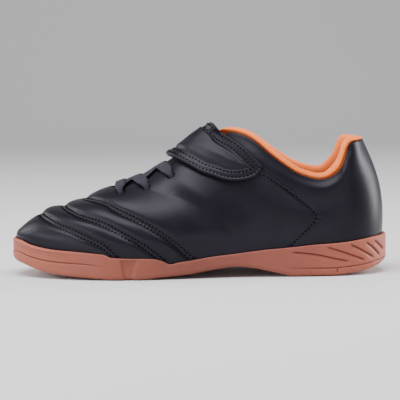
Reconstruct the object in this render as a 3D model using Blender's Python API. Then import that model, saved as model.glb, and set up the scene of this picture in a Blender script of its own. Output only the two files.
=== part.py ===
"""Indoor soccer shoe, left foot, child's size, standing on its sole.

Metres. The toe points along -X, the outer side of the foot faces -Y, and +Z is up.
"""

import math

import bmesh
import bpy
import numpy as np

# Overall sizes
SHOE_LENGTH = 0.2070
BALL_WIDTH = 0.0760
COLLAR_HEIGHT = 0.0730
SOLE_HEIGHT = 0.0210

# Upper
WALL = 0.0015
PUFF_RISE = 0.0015
PUFF_LENGTH = 0.100
TOE_SWELL = 0.5
THROAT_HALF_WIDTH = 0.0085
THROAT_FRONT = 0.737
THROAT_BACK = 0.300
THROAT_END_LENGTH = 0.045
EDGE_DRAW = 3
HOLE_RADIUS = 0.0016
HOLE_REACH = 0.005

# Sole
SOLE_LIP = 0.0020
SOLE_GAP = 0.0004
LIP_ROUND = 0.0007
CREASE_HALF = 0.0006
CREASE_DEPTH = 0.0006
CUT_OVER = 0.0006
CUT_CLEAR = 0.0025
FOOT_ROUND = 0.0022
FIN_DEPTH = 0.0008
FIN_HALF = 0.0009
FIN_STEPS = 6
NOTCH_DEPTH = 0.0011
TREAD_DEPTH = 0.0013
TREAD_WIDTH = 0.0020
TREAD_RIM = 0.0070

# Insole, collar lining, tongue
INSOLE_THICKNESS = 0.0030
FIT = 0.0003
INSOLE_FIT = 0.0006
LINING_PAD = 0.0034
LINING_GAP = 0.0006
LINING_EDGE = 0.0006
ROLL_RISE = 0.0033
TONGUE_THICKNESS = 0.0030
TONGUE_THINNING = 0.6
TONGUE_GAP = 0.0004
TONGUE_CROWN = 0.0017

# Strap and laces
STRAP_THICKNESS = 0.0022
STRAP_PAD = 0.0017
STRAP_LIFT = 0.0027
STRAP_SAG = 0.0030
STRAP_GAP = 0.0007
LACE_WIDTH = 0.0060
LACE_THICKNESS = 0.0016
LACE_GAP = 0.0008
LACE_DIP = 0.0004
LACE_PAST_HOLE = 0.04
LACE_END_REACH = (1.0, 1.35)
LACE_END_WIDTH = 0.62
LACE_STEPS = (0.0, 0.33, 0.67, 1.0)
LACE_END_STEPS = (0.5, 1.0)

# Outline of the sole: station, outer half width, inner half width.
# Stations are shares of the length from the heel, and widths are shares of the ball width.
PLAN = (
    (0.000, 0.000, 0.000),
    (0.030, 0.232, 0.232),
    (0.100, 0.350, 0.350),
    (0.200, 0.385, 0.378),
    (0.320, 0.393, 0.362),
    (0.450, 0.418, 0.360),
    (0.570, 0.468, 0.415),
    (0.680, 0.500, 0.492),
    (0.770, 0.470, 0.510),
    (0.850, 0.398, 0.470),
    (0.915, 0.312, 0.392),
    (0.965, 0.208, 0.275),
    (1.000, 0.000, 0.000),
)
# Collar edge and ridge: station at the foot, station at the top, half width (share of the
# ball width), height on the outer side and on the inner side (shares of the collar height)
TOP_LINE = (
    (0.000, 0.0610, 0.000, 1.000, 1.000),
    (0.020, 0.0655, 0.112, 1.000, 1.000),
    (0.045, 0.0760, 0.184, 0.997, 0.997),
    (0.070, 0.0890, 0.230, 0.992, 0.992),
    (0.085, 0.0990, 0.250, 0.978, 0.980),
    (0.095, 0.1060, 0.260, 0.945, 0.950),
    (0.105, 0.1130, 0.267, 0.884, 0.895),
    (0.120, 0.1230, 0.274, 0.808, 0.825),
    (0.140, 0.1410, 0.280, 0.753, 0.770),
    (0.180, 0.1800, 0.287, 0.716, 0.735),
    (0.217, 0.2170, 0.289, 0.738, 0.755),
    (0.249, 0.2490, 0.289, 0.778, 0.790),
    (0.280, 0.2800, 0.283, 0.838, 0.842),
    (0.312, 0.3120, 0.270, 0.907, 0.902),
    (0.343, 0.3430, 0.243, 0.984, 0.970),
    (0.374, 0.3740, 0.204, 1.041, 1.022),
    (0.406, 0.4060, 0.151, 1.068, 1.050),
    (0.430, 0.4300, 0.099, 1.072, 1.060),
    (0.460, 0.4600, 0.028, 1.056, 1.056),
    (0.485, 0.4850, 0.000, 1.022, 1.022),
    (0.520, 0.5200, 0.000, 0.958, 0.958),
    (0.560, 0.5600, 0.000, 0.883, 0.883),
    (0.600, 0.6000, 0.000, 0.804, 0.804),
    (0.650, 0.6500, 0.000, 0.734, 0.734),
    (0.700, 0.7000, 0.000, 0.677, 0.677),
    (0.745, 0.7450, 0.000, 0.635, 0.635),
    (0.805, 0.8044, 0.000, 0.566, 0.566),
    (0.870, 0.8625, 0.000, 0.513, 0.513),
    (0.920, 0.9018, 0.000, 0.484, 0.484),
    (0.960, 0.9299, 0.000, 0.448, 0.448),
    (1.000, 0.9550, 0.000, 0.401, 0.401),
)
# Roundness of a rib: station, outward swell (share of the ball width), rise of the side and
# reach of the top (shares of the rib), fall at the top edge (share of the rib)
FULLNESS = (
    (0.000, 0.034, 0.57, 0.36, 0.21),
    (0.100, 0.022, 0.40, 0.46, 0.28),
    (0.220, 0.022, 0.35, 0.45, 0.30),
    (0.340, 0.022, 0.38, 0.40, 0.30),
    (0.420, 0.020, 0.40, 0.40, 0.20),
    (0.480, 0.020, 0.42, 0.40, 0.04),
    (0.560, 0.020, 0.42, 0.42, 0.00),
    (0.700, 0.024, 0.48, 0.48, 0.00),
    (0.850, 0.030, 0.55, 0.56, 0.00),
    (1.000, 0.010, 0.55, 0.60, 0.00),
)
# Fall at the top edge from which a rib no longer follows the slope along the ridge
FREE_FALL = 0.2
# Foot of the ribs: station, height (share of the sole height)
FOOT = (
    (0.000, 1.000),
    (0.100, 0.885),
    (0.250, 0.755),
    (0.400, 0.595),
    (0.500, 0.485),
    (0.576, 0.440),
    (0.650, 0.490),
    (0.710, 0.540),
    (0.760, 0.620),
    (0.820, 0.700),
    (0.900, 0.765),
    (0.950, 0.850),
    (1.000, 0.985),
)
# Sole: station, underside, inside floor and lip heights (shares of the sole height)
SOLE = (
    (0.000, 0.270, 0.52, 1.000),
    (0.030, 0.170, 0.51, 0.975),
    (0.060, 0.100, 0.50, 0.935),
    (0.110, 0.035, 0.48, 0.870),
    (0.150, 0.000, 0.47, 0.840),
    (0.190, 0.000, 0.46, 0.820),
    (0.255, 0.000, 0.45, 0.760),
    (0.285, 0.062, 0.45, 0.735),
    (0.330, 0.165, 0.45, 0.700),
    (0.370, 0.245, 0.45, 0.655),
    (0.405, 0.275, 0.44, 0.615),
    (0.445, 0.230, 0.41, 0.575),
    (0.480, 0.180, 0.37, 0.535),
    (0.520, 0.110, 0.32, 0.470),
    (0.551, 0.082, 0.27, 0.435),
    (0.576, 0.062, 0.25, 0.392),
    (0.600, 0.045, 0.24, 0.490),
    (0.625, 0.018, 0.23, 0.540),
    (0.650, 0.000, 0.23, 0.550),
    (0.690, 0.000, 0.23, 0.557),
    (0.730, 0.000, 0.23, 0.580),
    (0.750, 0.012, 0.24, 0.655),
    (0.775, 0.028, 0.25, 0.682),
    (0.830, 0.062, 0.28, 0.724),
    (0.885, 0.110, 0.34, 0.755),
    (0.920, 0.165, 0.39, 0.800),
    (0.950, 0.240, 0.43, 0.860),
    (0.980, 0.315, 0.49, 0.960),
    (1.000, 0.340, 0.53, 0.990),
)
# Rounding of the sole's edges: station, share of the plain rounding
ROUNDING = ((0.0, 1.0), (0.86, 1.0), (0.95, 1.4), (1.0, 1.7))
# Rounded lower edge of the sole: distance in and height as shares of its rounding
FOOT_SECTION = ((0.1, 0.7), (0.4, 0.25), (1.0, 0.0))
# Edge of the insole: distance in and height as shares of its thickness
INSOLE_SECTION = ((0.2, 0.0), (0.0, 0.25), (0.0, 0.70), (0.2, 1.0))
# Moulded line round the side of the sole: station, height and depth as shares of the side's
# height and of the crease depth
SOLE_LINE = (
    (0.000, 0.20, 1.0),
    (0.200, 0.26, 1.0),
    (0.320, 0.30, 0.8),
    (0.370, 0.35, 0.0),
    (0.740, 0.50, 0.0),
    (0.790, 0.55, 0.8),
    (0.880, 0.52, 1.0),
    (0.960, 0.50, 1.0),
    (1.000, 0.50, 1.0),
)
# Slanted creases in the heel's side: station and height at the top end, then at the low end
FINS = (
    (0.252, 0.86, 0.108, 0.50),
    (0.160, 0.93, 0.066, 0.46),
    (0.096, 0.93, 0.040, 0.46),
    (0.054, 0.90, 0.022, 0.48),
    (0.032, 0.88, 0.010, 0.56),
)
# Flex notch in the side: station, height (share of the side's height)
NOTCH = (
    (0.662, 0.98),
    (0.706, 0.98),
    (0.697, -0.10),
    (0.675, -0.10),
)
# Seams of the toe pleats: height along the rib, stations of the rear, middle and front seam.
# The last row mirrors the seams over the ridge, so that they cross it squarely.
SEAMS = (
    (0.00, 0.516, 0.594, 0.722),
    (0.10, 0.551, 0.631, 0.750),
    (0.20, 0.589, 0.679, 0.799),
    (0.30, 0.631, 0.725, 0.838),
    (0.40, 0.672, 0.772, 0.871),
    (0.52, 0.717, 0.815, 0.899),
    (0.66, 0.760, 0.843, 0.922),
    (0.82, 0.792, 0.862, 0.939),
    (1.00, 0.804, 0.870, 0.946),
    (1.18, 0.792, 0.862, 0.939),
)
# Swell of the pleats: height along the rib, share of the full rise
PUFF_FADE = ((0.0, 0.0), (0.06, 0.05), (0.20, 0.75), (0.45, 1.0), (1.0, 1.0))
# Stations of the mesh behind the rear seam, on the rib height where the seams turn
REAR_STATIONS = (
    0.000, 0.008, 0.024, 0.045, 0.066, 0.082, 0.092, 0.101, 0.111, 0.124, 0.145, 0.175,
    0.210, 0.245, 0.280, 0.315, 0.350, 0.380, 0.410, 0.440, 0.465, 0.490, 0.515, 0.542,
    0.568, 0.590, 0.612, 0.632, 0.652, 0.672,
)
TURN_ROW = 0.40
WARP_FROM = 0.200
PLEAT_COLUMNS = 5
TOE_COLUMNS = 8
ROWS = (0.0, 0.05, 0.12, 0.20, 0.30, 0.41, 0.53, 0.66, 0.79, 0.90, 1.0)
# Lace holes: station, height along the rib
HOLE_TURNS = tuple(k * math.pi / 4 for k in range(8))
HOLES = ((0.706, 0.727), (0.638, 0.690), (0.573, 0.690))
# Strap, from its sewn end on the inner side to its tip on the outer side:
# side, front station, front height along the rib, rear station, rear height, share of lift
STRAP = (
    (1, 0.534, 0.490, 0.424, 0.530, 0.00),
    (1, 0.537, 0.580, 0.427, 0.620, 0.00),
    (1, 0.542, 0.675, 0.430, 0.710, 0.07),
    (1, 0.549, 0.770, 0.433, 0.800, 0.32),
    (1, 0.560, 0.885, 0.436, 0.905, 0.80),
    (-1, 0.576, 1.000, 0.439, 1.000, 1.00),
    (-1, 0.562, 0.850, 0.436, 0.975, 0.80),
    (-1, 0.541, 0.735, 0.429, 0.945, 0.32),
    (-1, 0.516, 0.637, 0.413, 0.922, 0.08),
    (-1, 0.491, 0.560, 0.397, 0.903, 0.00),
    (-1, 0.464, 0.522, 0.383, 0.885, 0.00),
    (-1, 0.437, 0.512, 0.371, 0.868, 0.00),
    (-1, 0.412, 0.523, 0.361, 0.853, 0.00),
    (-1, 0.388, 0.550, 0.352, 0.840, 0.00),
    (-1, 0.368, 0.592, 0.345, 0.830, 0.00),
    (-1, 0.352, 0.640, 0.339, 0.821, 0.00),
    (-1, 0.341, 0.698, 0.334, 0.808, 0.00),
    (-1, 0.334, 0.745, 0.331, 0.790, 0.00),
)
# Across the strap: share of the width, share of the thickness, share of the pad
STRAP_ACROSS = (
    (0.00, 0.55, 0.0),
    (0.05, 1.00, 0.0),
    (0.22, 1.00, 0.0),
    (0.30, 1.00, 0.75),
    (0.50, 1.00, 1.0),
    (0.70, 1.00, 0.75),
    (0.78, 1.00, 0.0),
    (0.95, 1.00, 0.0),
    (1.00, 0.55, 0.0),
)
STRAP_REAR_LIFT = 1.35
# Share of the pad on the first rows from each end of the strap
STRAP_PAD_ENDS = (0.0, 0.0, 0.55, 1.0)
# Section of a lace: share of the half width, share of the thickness
LACE_SECTION = (
    (-1.0, 0.25),
    (-0.8, 0.0),
    (0.8, 0.0),
    (1.0, 0.25),
    (1.0, 0.75),
    (0.8, 1.0),
    (-0.8, 1.0),
    (-1.0, 0.75),
)
# Collar lining: heights along the rib down its outer face, then its roll and inner face
LINING_END = 0.438
LINING_OUTER = (0.40, 0.60, 0.80, 0.97)
# Roll over the collar edge: rise (share of the roll's rise), distance in from the outside
ROLL = ((0.24, 0.0021), (0.24, 0.0002), (0.44, -0.0003), (0.80, 0.0006), (1.00, 0.0024), (0.80, 0.0044))
LINING_INNER = ((0.97, 1.00), (0.80, 1.00), (0.60, 0.75), (0.40, 0.30))
ROLL_SIZE = ((0.0, 1.1), (0.085, 1.3), (0.125, 1.4), (0.17, 1.1), (0.30, 0.9), (0.436, 0.5), (1.0, 0.5))
EDGE_STEP = 0.004
LINING_THIN = ((0.0, 1.0), (0.30, 1.0), (0.38, 0.6), (0.436, 0.35), (1.0, 0.35))
# Tongue: station, half width
TONGUE = ((0.447, 0.0080), (0.480, 0.0100), (0.530, 0.0130), (0.690, 0.0130), (0.722, 0.0110))
TONGUE_COLUMNS = 12
TONGUE_ACROSS = (-1.0, -0.8, -0.55, -0.28, 0.0, 0.28, 0.55, 0.8, 1.0)
TREAD_STATIONS = (0.175, 0.215, 0.250, 0.600, 0.635, 0.670, 0.705, 0.740, 0.775, 0.812, 0.850)

OUTER, INNER = -1, 1
SIDES = (OUTER, INNER)


def angle(share):
    """Position round the outline, 0 at the heel and 1 at the toe, of a share of the length."""
    return np.arccos(np.clip(1 - 2 * np.asarray(share, float), -1, 1)) / math.pi


def share_at(u):
    return (1 - np.cos(math.pi * np.asarray(u, float))) / 2


def column(table, k):
    return [row[k] for row in table]


def spline(x, y, even):
    """A cubic through the knots, flat at both ends if even, else straight there."""
    x = np.asarray(x, float)
    y = np.asarray(y, float)
    h = np.diff(x)
    rise = np.diff(y) / h
    n = len(x)
    a = np.zeros((n, n))
    b = np.zeros(n)
    for i in range(1, n - 1):
        a[i, i - 1 : i + 2] = h[i - 1], 2 * (h[i - 1] + h[i]), h[i]
        b[i] = 6 * (rise[i] - rise[i - 1])
    a[0, 0] = a[-1, -1] = 1
    if even:
        a[0, :2] = 2 * h[0], h[0]
        a[-1, -2:] = h[-1], 2 * h[-1]
        b[0] = 6 * rise[0]
        b[-1] = -6 * rise[-1]
    bend = np.linalg.solve(a, b)

    def value(t):
        t = np.clip(np.asarray(t, float), x[0], x[-1])
        i = np.clip(np.searchsorted(x, t) - 1, 0, n - 2)
        p = (x[i + 1] - t) / h[i]
        q = 1 - p
        curve = (p**3 - p) * bend[i] + (q**3 - q) * bend[i + 1]
        return p * y[i] + q * y[i + 1] + curve * h[i] ** 2 / 6

    return value


def steady(x, y):
    """A smooth curve through the knots that never overshoots them."""
    x = np.asarray(x, float)
    y = np.asarray(y, float)
    h = np.diff(x)
    rise = np.diff(y) / h
    slope = np.zeros(len(x))
    for i in range(1, len(x) - 1):
        if rise[i - 1] * rise[i] > 0:
            left = 2 * h[i] + h[i - 1]
            right = h[i] + 2 * h[i - 1]
            slope[i] = (left + right) / (left / rise[i - 1] + right / rise[i])

    def value(t):
        t = np.clip(np.asarray(t, float), x[0], x[-1])
        i = np.clip(np.searchsorted(x, t) - 1, 0, len(x) - 2)
        k = (t - x[i]) / h[i]
        start = (2 * k**3 - 3 * k**2 + 1) * y[i] + (k**3 - 2 * k**2 + k) * h[i] * slope[i]
        end = (3 * k**2 - 2 * k**3) * y[i + 1] + (k**3 - k**2) * h[i] * slope[i + 1]
        return start + end

    return value


plan_u = angle(column(PLAN, 0))
half_width = {side: spline(plan_u, column(PLAN, k), False) for side, k in ((OUTER, 1), (INNER, 2))}
top_u = angle(column(TOP_LINE, 0))
top_station = spline(top_u, column(TOP_LINE, 1), True)
top_width = spline(top_u, column(TOP_LINE, 2), False)
top_height = {side: spline(top_u, column(TOP_LINE, k), True) for side, k in ((OUTER, 3), (INNER, 4))}
full_u = angle(column(FULLNESS, 0))
fullness = [steady(full_u, column(FULLNESS, k)) for k in range(1, 5)]
foot_height = spline(angle(column(FOOT, 0)), column(FOOT, 1), True)
sole_u = angle(column(SOLE, 0))
under_height, floor_height, lip_height = (steady(sole_u, column(SOLE, k)) for k in (1, 2, 3))
rounding = steady(angle(column(ROUNDING, 0)), column(ROUNDING, 1))
line_u = angle(column(SOLE_LINE, 0))
line_height, line_depth = (steady(line_u, column(SOLE_LINE, k)) for k in (1, 2))
seam_station = [spline(column(SEAMS, 0), angle(column(SEAMS, k)), False) for k in (1, 2, 3)]
puff_fade = steady(column(PUFF_FADE, 0), column(PUFF_FADE, 1))


def floor_z(u):
    return SOLE_HEIGHT * floor_height(u)


def lip_z(u):
    return SOLE_HEIGHT * lip_height(u)


def under_z(u):
    return SOLE_HEIGHT * under_height(u)


def plan(u, side, out=0.0):
    """Points of the sole's outline, moved out square to it, and the outward direction."""
    u = np.asarray(u, float)

    def at(w):
        return np.stack([(0.5 - share_at(w)) * SHOE_LENGTH, side * BALL_WIDTH * half_width[side](w)], -1)

    step = 1e-4
    along = at(np.clip(u + step, 0, 1)) - at(np.clip(u - step, 0, 1))
    normal = np.stack([along[..., 1], -along[..., 0]], -1) * side
    normal /= np.linalg.norm(normal, axis=-1, keepdims=True)
    normal = np.where((u <= 0)[..., None], [1.0, 0.0], normal)
    normal = np.where((u >= 1)[..., None], [-1.0, 0.0], normal)
    return at(u) + normal * np.asarray(out, float)[..., None], normal


def joined(flat, z):
    return np.concatenate([flat, np.asarray(z, float)[..., None]], -1)


def rib(u, side):
    """The four control points of the rib at each u: foot, side, top, and collar edge or ridge."""
    u = np.asarray(u, float)
    foot, normal = plan(u, side, -SOLE_LIP)
    p0 = joined(foot, SOLE_HEIGHT * foot_height(u))
    wide = side * BALL_WIDTH * np.maximum(top_width(u), 0)
    top = np.stack([(0.5 - top_station(u)) * SHOE_LENGTH, wide], -1)
    p3 = joined(top, COLLAR_HEIGHT * top_height[side](u))
    out = foot - top
    distance = np.linalg.norm(out, axis=-1)
    out = out / distance[..., None]
    height = p3[..., 2] - p0[..., 2]
    swell, rise, reach, fall = (f(u) for f in fullness)
    step = 1e-3
    after = np.clip(u + step, 0, 1)
    before = np.clip(u - step, 0, 1)
    dz = COLLAR_HEIGHT * (top_height[side](after) - top_height[side](before))
    dx = -SHOE_LENGTH * (top_station(after) - top_station(before))
    on_ridge = np.clip(1 - fall / FREE_FALL, 0, 1)
    slope = dz / np.minimum(dx, -1e-9) * on_ridge
    arm = reach * distance
    p1 = p0 + joined(normal * (swell * BALL_WIDTH)[..., None], rise * height)
    p2 = p3 + joined(out * arm[..., None], arm * out[..., 0] * slope - fall * height)
    return p0, p1, p2, p3


def surface(u, v, side):
    p0, p1, p2, p3 = rib(u, side)
    v = np.asarray(v, float)[..., None]
    w = 1 - v
    return w**3 * p0 + 3 * w * w * v * p1 + 3 * w * v * v * p2 + v**3 * p3


def normals(u, v, side):
    """Outward directions of the surface."""
    step = 1e-3
    u = np.clip(u, 0.002, 0.996)
    v = np.clip(v, 0.002, 0.985)
    along = surface(u + step, v, side) - surface(u - step, v, side)
    up = surface(u, v + step, side) - surface(u, v - step, side)
    found = np.cross(along, up) * side
    return found / np.linalg.norm(found, axis=-1, keepdims=True)


def throat_half(station):
    """Half width of the throat opening, nought in front of it and behind the collar's front."""
    behind = np.clip((THROAT_FRONT - station) / THROAT_END_LENGTH, 0, 1)
    half = THROAT_HALF_WIDTH * np.sqrt(1 - (1 - behind) ** 2)
    return np.where(station < THROAT_BACK, 0, half)


def height_at_width(u, wide, side):
    """The height along each rib where it stands this far from the middle."""
    low = np.full(np.shape(u), 0.3)
    high = np.ones(np.shape(u))
    for _ in range(30):
        middle = (low + high) / 2
        outside = np.abs(surface(u, middle, side)[..., 1]) > wide
        low = np.where(outside, middle, low)
        high = np.where(outside, high, middle)
    return high


def rib_end(u, side):
    """Where the upper's edge cuts each rib: at the throat, or else at its top."""
    wide = throat_half(top_station(u))
    own = BALL_WIDTH * np.maximum(top_width(u), 0)
    return np.where(wide > own, height_at_width(u, wide, side), 1.0)


def rib_height(u, f, side):
    """Height along each rib of mesh row f: the throat's edge draws down only the rows beside it."""
    return f - (1 - rib_end(u, side)) * f**EDGE_DRAW


def warped(reference, f):
    """u of the columns behind the rear seam, so that they turn into the seam."""
    turn = seam_station[0](TURN_ROW)
    start = angle(WARP_FROM)
    k = np.clip((reference - start) / (turn - start), 0, 1)
    return reference + (3 * k**2 - 2 * k**3) * (seam_station[0](f) - turn)


def columns_at(f):
    """u of every mesh column at rib height f."""
    u = list(warped(angle(REAR_STATIONS), f))
    edges = [float(seam(f)) for seam in seam_station] + [1.0]
    for k, count in enumerate((PLEAT_COLUMNS, PLEAT_COLUMNS, TOE_COLUMNS)):
        u += [edges[k] + (edges[k + 1] - edges[k]) * i / count for i in range(1, count + 1)]
    return np.array(u)


def swell_at(u, f):
    """How far the padded pleats swell out of the plain surface."""
    u = np.asarray(u, float)
    rear, middle, front = (seam(f) for seam in seam_station)
    back = np.clip((rear - u) / PUFF_LENGTH, 0, 1)
    share = np.sin(math.pi * back**0.6)
    for low, high in ((rear, middle), (middle, front)):
        t = np.clip((u - low) / (high - low), 0, 1)
        share = share + np.sin(math.pi * t) ** 0.8
    t = np.clip((u - front) / (1 - front), 0, 1)
    share = share + TOE_SWELL * np.sin(math.pi * t) * (1 - t)
    return PUFF_RISE * share * puff_fade(f)


def new_material(name, colour, roughness, metallic=0.0):
    material = bpy.data.materials.new(name)
    material.use_nodes = True
    shader = next(n for n in material.node_tree.nodes if n.type == "BSDF_PRINCIPLED")
    shader.inputs["Base Color"].default_value = (*colour, 1.0)
    shader.inputs["Roughness"].default_value = roughness
    shader.inputs["Metallic"].default_value = metallic
    return material


def new_object(name, points, faces, material=None):
    """A mesh object with its faces turned outwards."""
    mesh = bpy.data.meshes.new(name)
    mesh.from_pydata([tuple(p) for p in points], [], faces)
    work = bmesh.new()
    work.from_mesh(mesh)
    bmesh.ops.recalc_face_normals(work, faces=work.faces[:])
    if work.calc_volume(signed=True) < 0:
        bmesh.ops.reverse_faces(work, faces=work.faces[:])
    bmesh.ops.triangulate(work, faces=work.faces[:])
    work.to_mesh(mesh)
    work.free()
    obj = bpy.data.objects.new(name, mesh)
    bpy.context.scene.collection.objects.link(obj)
    if material:
        mesh.materials.append(material)
        mesh.shade_smooth()
        mesh.set_sharp_from_angle(angle=math.radians(35))
    return obj


def combine(obj, tool, operation):
    """Cuts or joins one object by another, which is then hidden."""
    tool.hide_render = True
    tool.display_type = "WIRE"
    modifier = obj.modifiers.new(tool.name, "BOOLEAN")
    modifier.operation = operation
    modifier.solver = "EXACT"
    modifier.object = tool


def loft(rings):
    """Points and faces of a solid through closed rings, with its ends filled."""
    rings = [np.asarray(r) for r in rings]
    n = len(rings[0])
    points = np.concatenate(rings)
    faces = []
    for k in range(len(rings) - 1):
        for i in range(n):
            j = (i + 1) % n
            faces.append((k * n + i, k * n + j, (k + 1) * n + j, (k + 1) * n + i))
    faces.append(tuple(range(n)))
    faces.append(tuple((len(rings) - 1) * n + i for i in range(n)))
    return points, faces


def build_upper(material):
    rows = [columns_at(f) for f in ROWS]
    count = len(rows[0])
    points = []
    index = {}

    def add(key, point):
        index[key] = len(points)
        points.append(point)

    outside = {}
    inside = {}
    closed = None
    for side in SIDES:
        outer = np.zeros((count, len(ROWS) + 1, 3))
        inner = np.zeros((count, len(ROWS) + 1, 3))
        for r, f in enumerate(ROWS):
            u = rows[r]
            v = rib_height(u, f, side)
            place = surface(u, v, side)
            normal = normals(u, v, side)
            if r == 0:
                normal = joined(plan(u, side)[1], np.zeros(count))
                foot, _ = plan(u, side, -SOLE_LIP)
                outer[:, 0] = joined(foot, floor_z(u) + FIT)
                inner[:, 0] = joined(foot - normal[:, :2] * WALL, floor_z(u) + FIT)
            for c in (0, count - 1):
                normal[c, 1] = 0
            normal /= np.linalg.norm(normal, axis=-1, keepdims=True)
            if r == len(ROWS) - 1:
                closed = place[:, 1] * side < 1e-6
                ridge = closed & (np.arange(count) > 0)
                place[ridge, 1] = 0
                normal[ridge, 1] = 0
                normal /= np.linalg.norm(normal, axis=-1, keepdims=True)
            rise = swell_at(u, f)[:, None]
            outer[:, r + 1] = place + normal * rise
            inner[:, r + 1] = place - normal * WALL
        outside[side] = outer
        inside[side] = inner
    # the ridge is one row of points for both sides
    for grid in (outside, inside):
        middle = (grid[OUTER][:, -1] + grid[INNER][:, -1]) / 2
        for side in SIDES:
            grid[side][closed, -1] = middle[closed]
    levels = len(ROWS) + 1
    for which, grid in (("out", outside), ("in", inside)):
        for side in SIDES:
            for c in range(count):
                for r in range(levels):
                    shared = c in (0, count - 1) or (r == levels - 1 and closed[c] and c > 0)
                    if side == INNER and shared:
                        index[which, side, c, r] = index[which, OUTER, c, r]
                    else:
                        add((which, side, c, r), grid[side][c, r])
    faces = []
    for side in SIDES:
        for c in range(count - 1):
            for which in ("out", "in"):
                for r in range(levels - 1):
                    corners = ((c, r), (c + 1, r), (c + 1, r + 1), (c, r + 1))
                    faces.append(tuple(index[which, side, a, b] for a, b in corners))
            for r in (0, levels - 1):
                if r and index["out", OUTER, c, r] == index["out", INNER, c, r] and c:
                    continue
                ring = (index["out", side, c, r], index["out", side, c + 1, r])
                faces.append(ring + (index["in", side, c + 1, r], index["in", side, c, r]))
    return new_object("upper", points, faces, material)


def sole_rows(u, side):
    """Rings of points down one side of the sole: inside floor, lip, outer side, underside."""
    low = under_z(u)
    high = lip_z(u)
    tall = high - low
    line = low + line_height(u) * tall
    depth = CREASE_DEPTH * line_depth(u)

    def at(out, z):
        return joined(plan(u, side, out)[0], z)

    wall = SOLE_GAP - SOLE_LIP
    none = np.zeros(np.shape(u))
    lip = LIP_ROUND * rounding(u)
    foot = FOOT_ROUND * rounding(u)
    return [
        at(none + wall, floor_z(u)),
        at(none + wall, high),
        at(-lip, high),
        at(none, high - lip),
        at(none, line + CREASE_HALF),
        at(-depth, line),
        at(none, line - CREASE_HALF),
    ] + [at(-foot * a, low + foot * b) for a, b in FOOT_SECTION]


def sole_point(station, share, side, out=0.0):
    """A point of the sole's side at a station and a share of its height, and its direction."""
    u = angle(station)
    low = under_z(u)
    flat, normal = plan(u, side, out)
    return joined(flat, low + share * (lip_z(u) - low)), joined(normal, np.zeros(np.shape(u)))


def groove(name, stations, shares, side, depth, half):
    """A cutter with a V section that runs along the sole's side."""
    centre, normal = sole_point(np.asarray(stations), np.asarray(shares), side)
    along = np.gradient(centre, axis=0)
    across = np.cross(normal, along)
    across /= np.linalg.norm(across, axis=-1, keepdims=True)
    wide = half * (1 + CUT_OVER / depth)
    rings = []
    for k in range(len(centre)):
        top = centre[k] + normal[k] * CUT_OVER
        deep = centre[k] - normal[k] * depth
        rings.append([top + across[k] * wide, top - across[k] * wide, deep])
    return new_object(name, *loft(rings))


def cross_faces(left, right):
    """Faces between two rows of points that meet at both ends."""
    faces = []
    for c in range(len(left) - 1):
        corners = [left[c], left[c + 1], right[c + 1], right[c]]
        kept = [p for k, p in enumerate(corners) if p not in corners[:k]]
        faces.append(tuple(kept))
    return faces


def build_plate(name, sides, material):
    """A closed solid from rings of rows on both sides, which share the heel and toe columns."""
    points = []
    index = {}
    for side in SIDES:
        for r, row in enumerate(sides[side]):
            for c in range(len(row)):
                if side == INNER and c in (0, len(row) - 1):
                    index[side, r, c] = index[OUTER, r, c]
                    continue
                index[side, r, c] = len(points)
                points.append(row[c])
    rows = len(sides[OUTER])
    count = len(sides[OUTER][0])
    faces = []
    for side in SIDES:
        for r in range(rows - 1):
            for c in range(count - 1):
                corners = ((r, c), (r, c + 1), (r + 1, c + 1), (r + 1, c))
                faces.append(tuple(index[side, a, b] for a, b in corners))
    for r in (0, rows - 1):
        left, right = ([index[side, r, c] for c in range(count)] for side in SIDES)
        faces += cross_faces(left, right)
    return new_object(name, points, faces, material)


def build_outsole(material):
    u = columns_at(0.0)
    sole = build_plate("outsole", {side: sole_rows(u, side) for side in SIDES}, material)
    share = np.linspace(0, 1, FIN_STEPS)
    for side in SIDES:
        for k, (s0, t0, s1, t1) in enumerate(FINS):
            along = s0 + (s1 - s0) * share
            height = t0 + (t1 - t0) * share
            tool = groove(f"fin_{k}_{side}", along, height, side, FIN_DEPTH, FIN_HALF)
            combine(sole, tool, "DIFFERENCE")
        stations = np.array(column(NOTCH, 0))
        shares = np.array(column(NOTCH, 1))
        deep = sole_point(stations, shares, side, -NOTCH_DEPTH)[0]
        clear = sole_point(stations, shares, side, CUT_CLEAR)[0]
        tool = new_object(f"notch_{side}", *loft([deep, clear]))
        combine(sole, tool, "DIFFERENCE")
    for k, station in enumerate(TREAD_STATIONS):
        place = angle(station)
        wide = {side: abs(plan(place, side, -TREAD_RIM)[0][1]) for side in SIDES}
        front, back = ((0.5 - station) * SHOE_LENGTH + TREAD_WIDTH / 2 * side for side in SIDES)
        top = under_z(place) + TREAD_DEPTH
        low = under_z(place) - CUT_CLEAR
        ring = ((front, top), (back, top), (back, low), (front, low))
        rings = [[(a, y, b) for a, b in ring] for y in (-wide[OUTER], wide[INNER])]
        combine(sole, new_object(f"tread_{k}", *loft(rings)), "DIFFERENCE")
    return sole


def build_insole(material):
    u = columns_at(0.0)
    inset = -(SOLE_LIP + WALL + INSOLE_FIT)
    sides = {}
    for side in SIDES:
        sides[side] = []
        for share, height in INSOLE_SECTION:
            flat, _ = plan(u, side, np.full(len(u), inset - INSOLE_THICKNESS * share))
            sides[side].append(joined(flat, floor_z(u) + FIT + INSOLE_THICKNESS * height))
    return build_plate("insole", sides, material)


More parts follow.
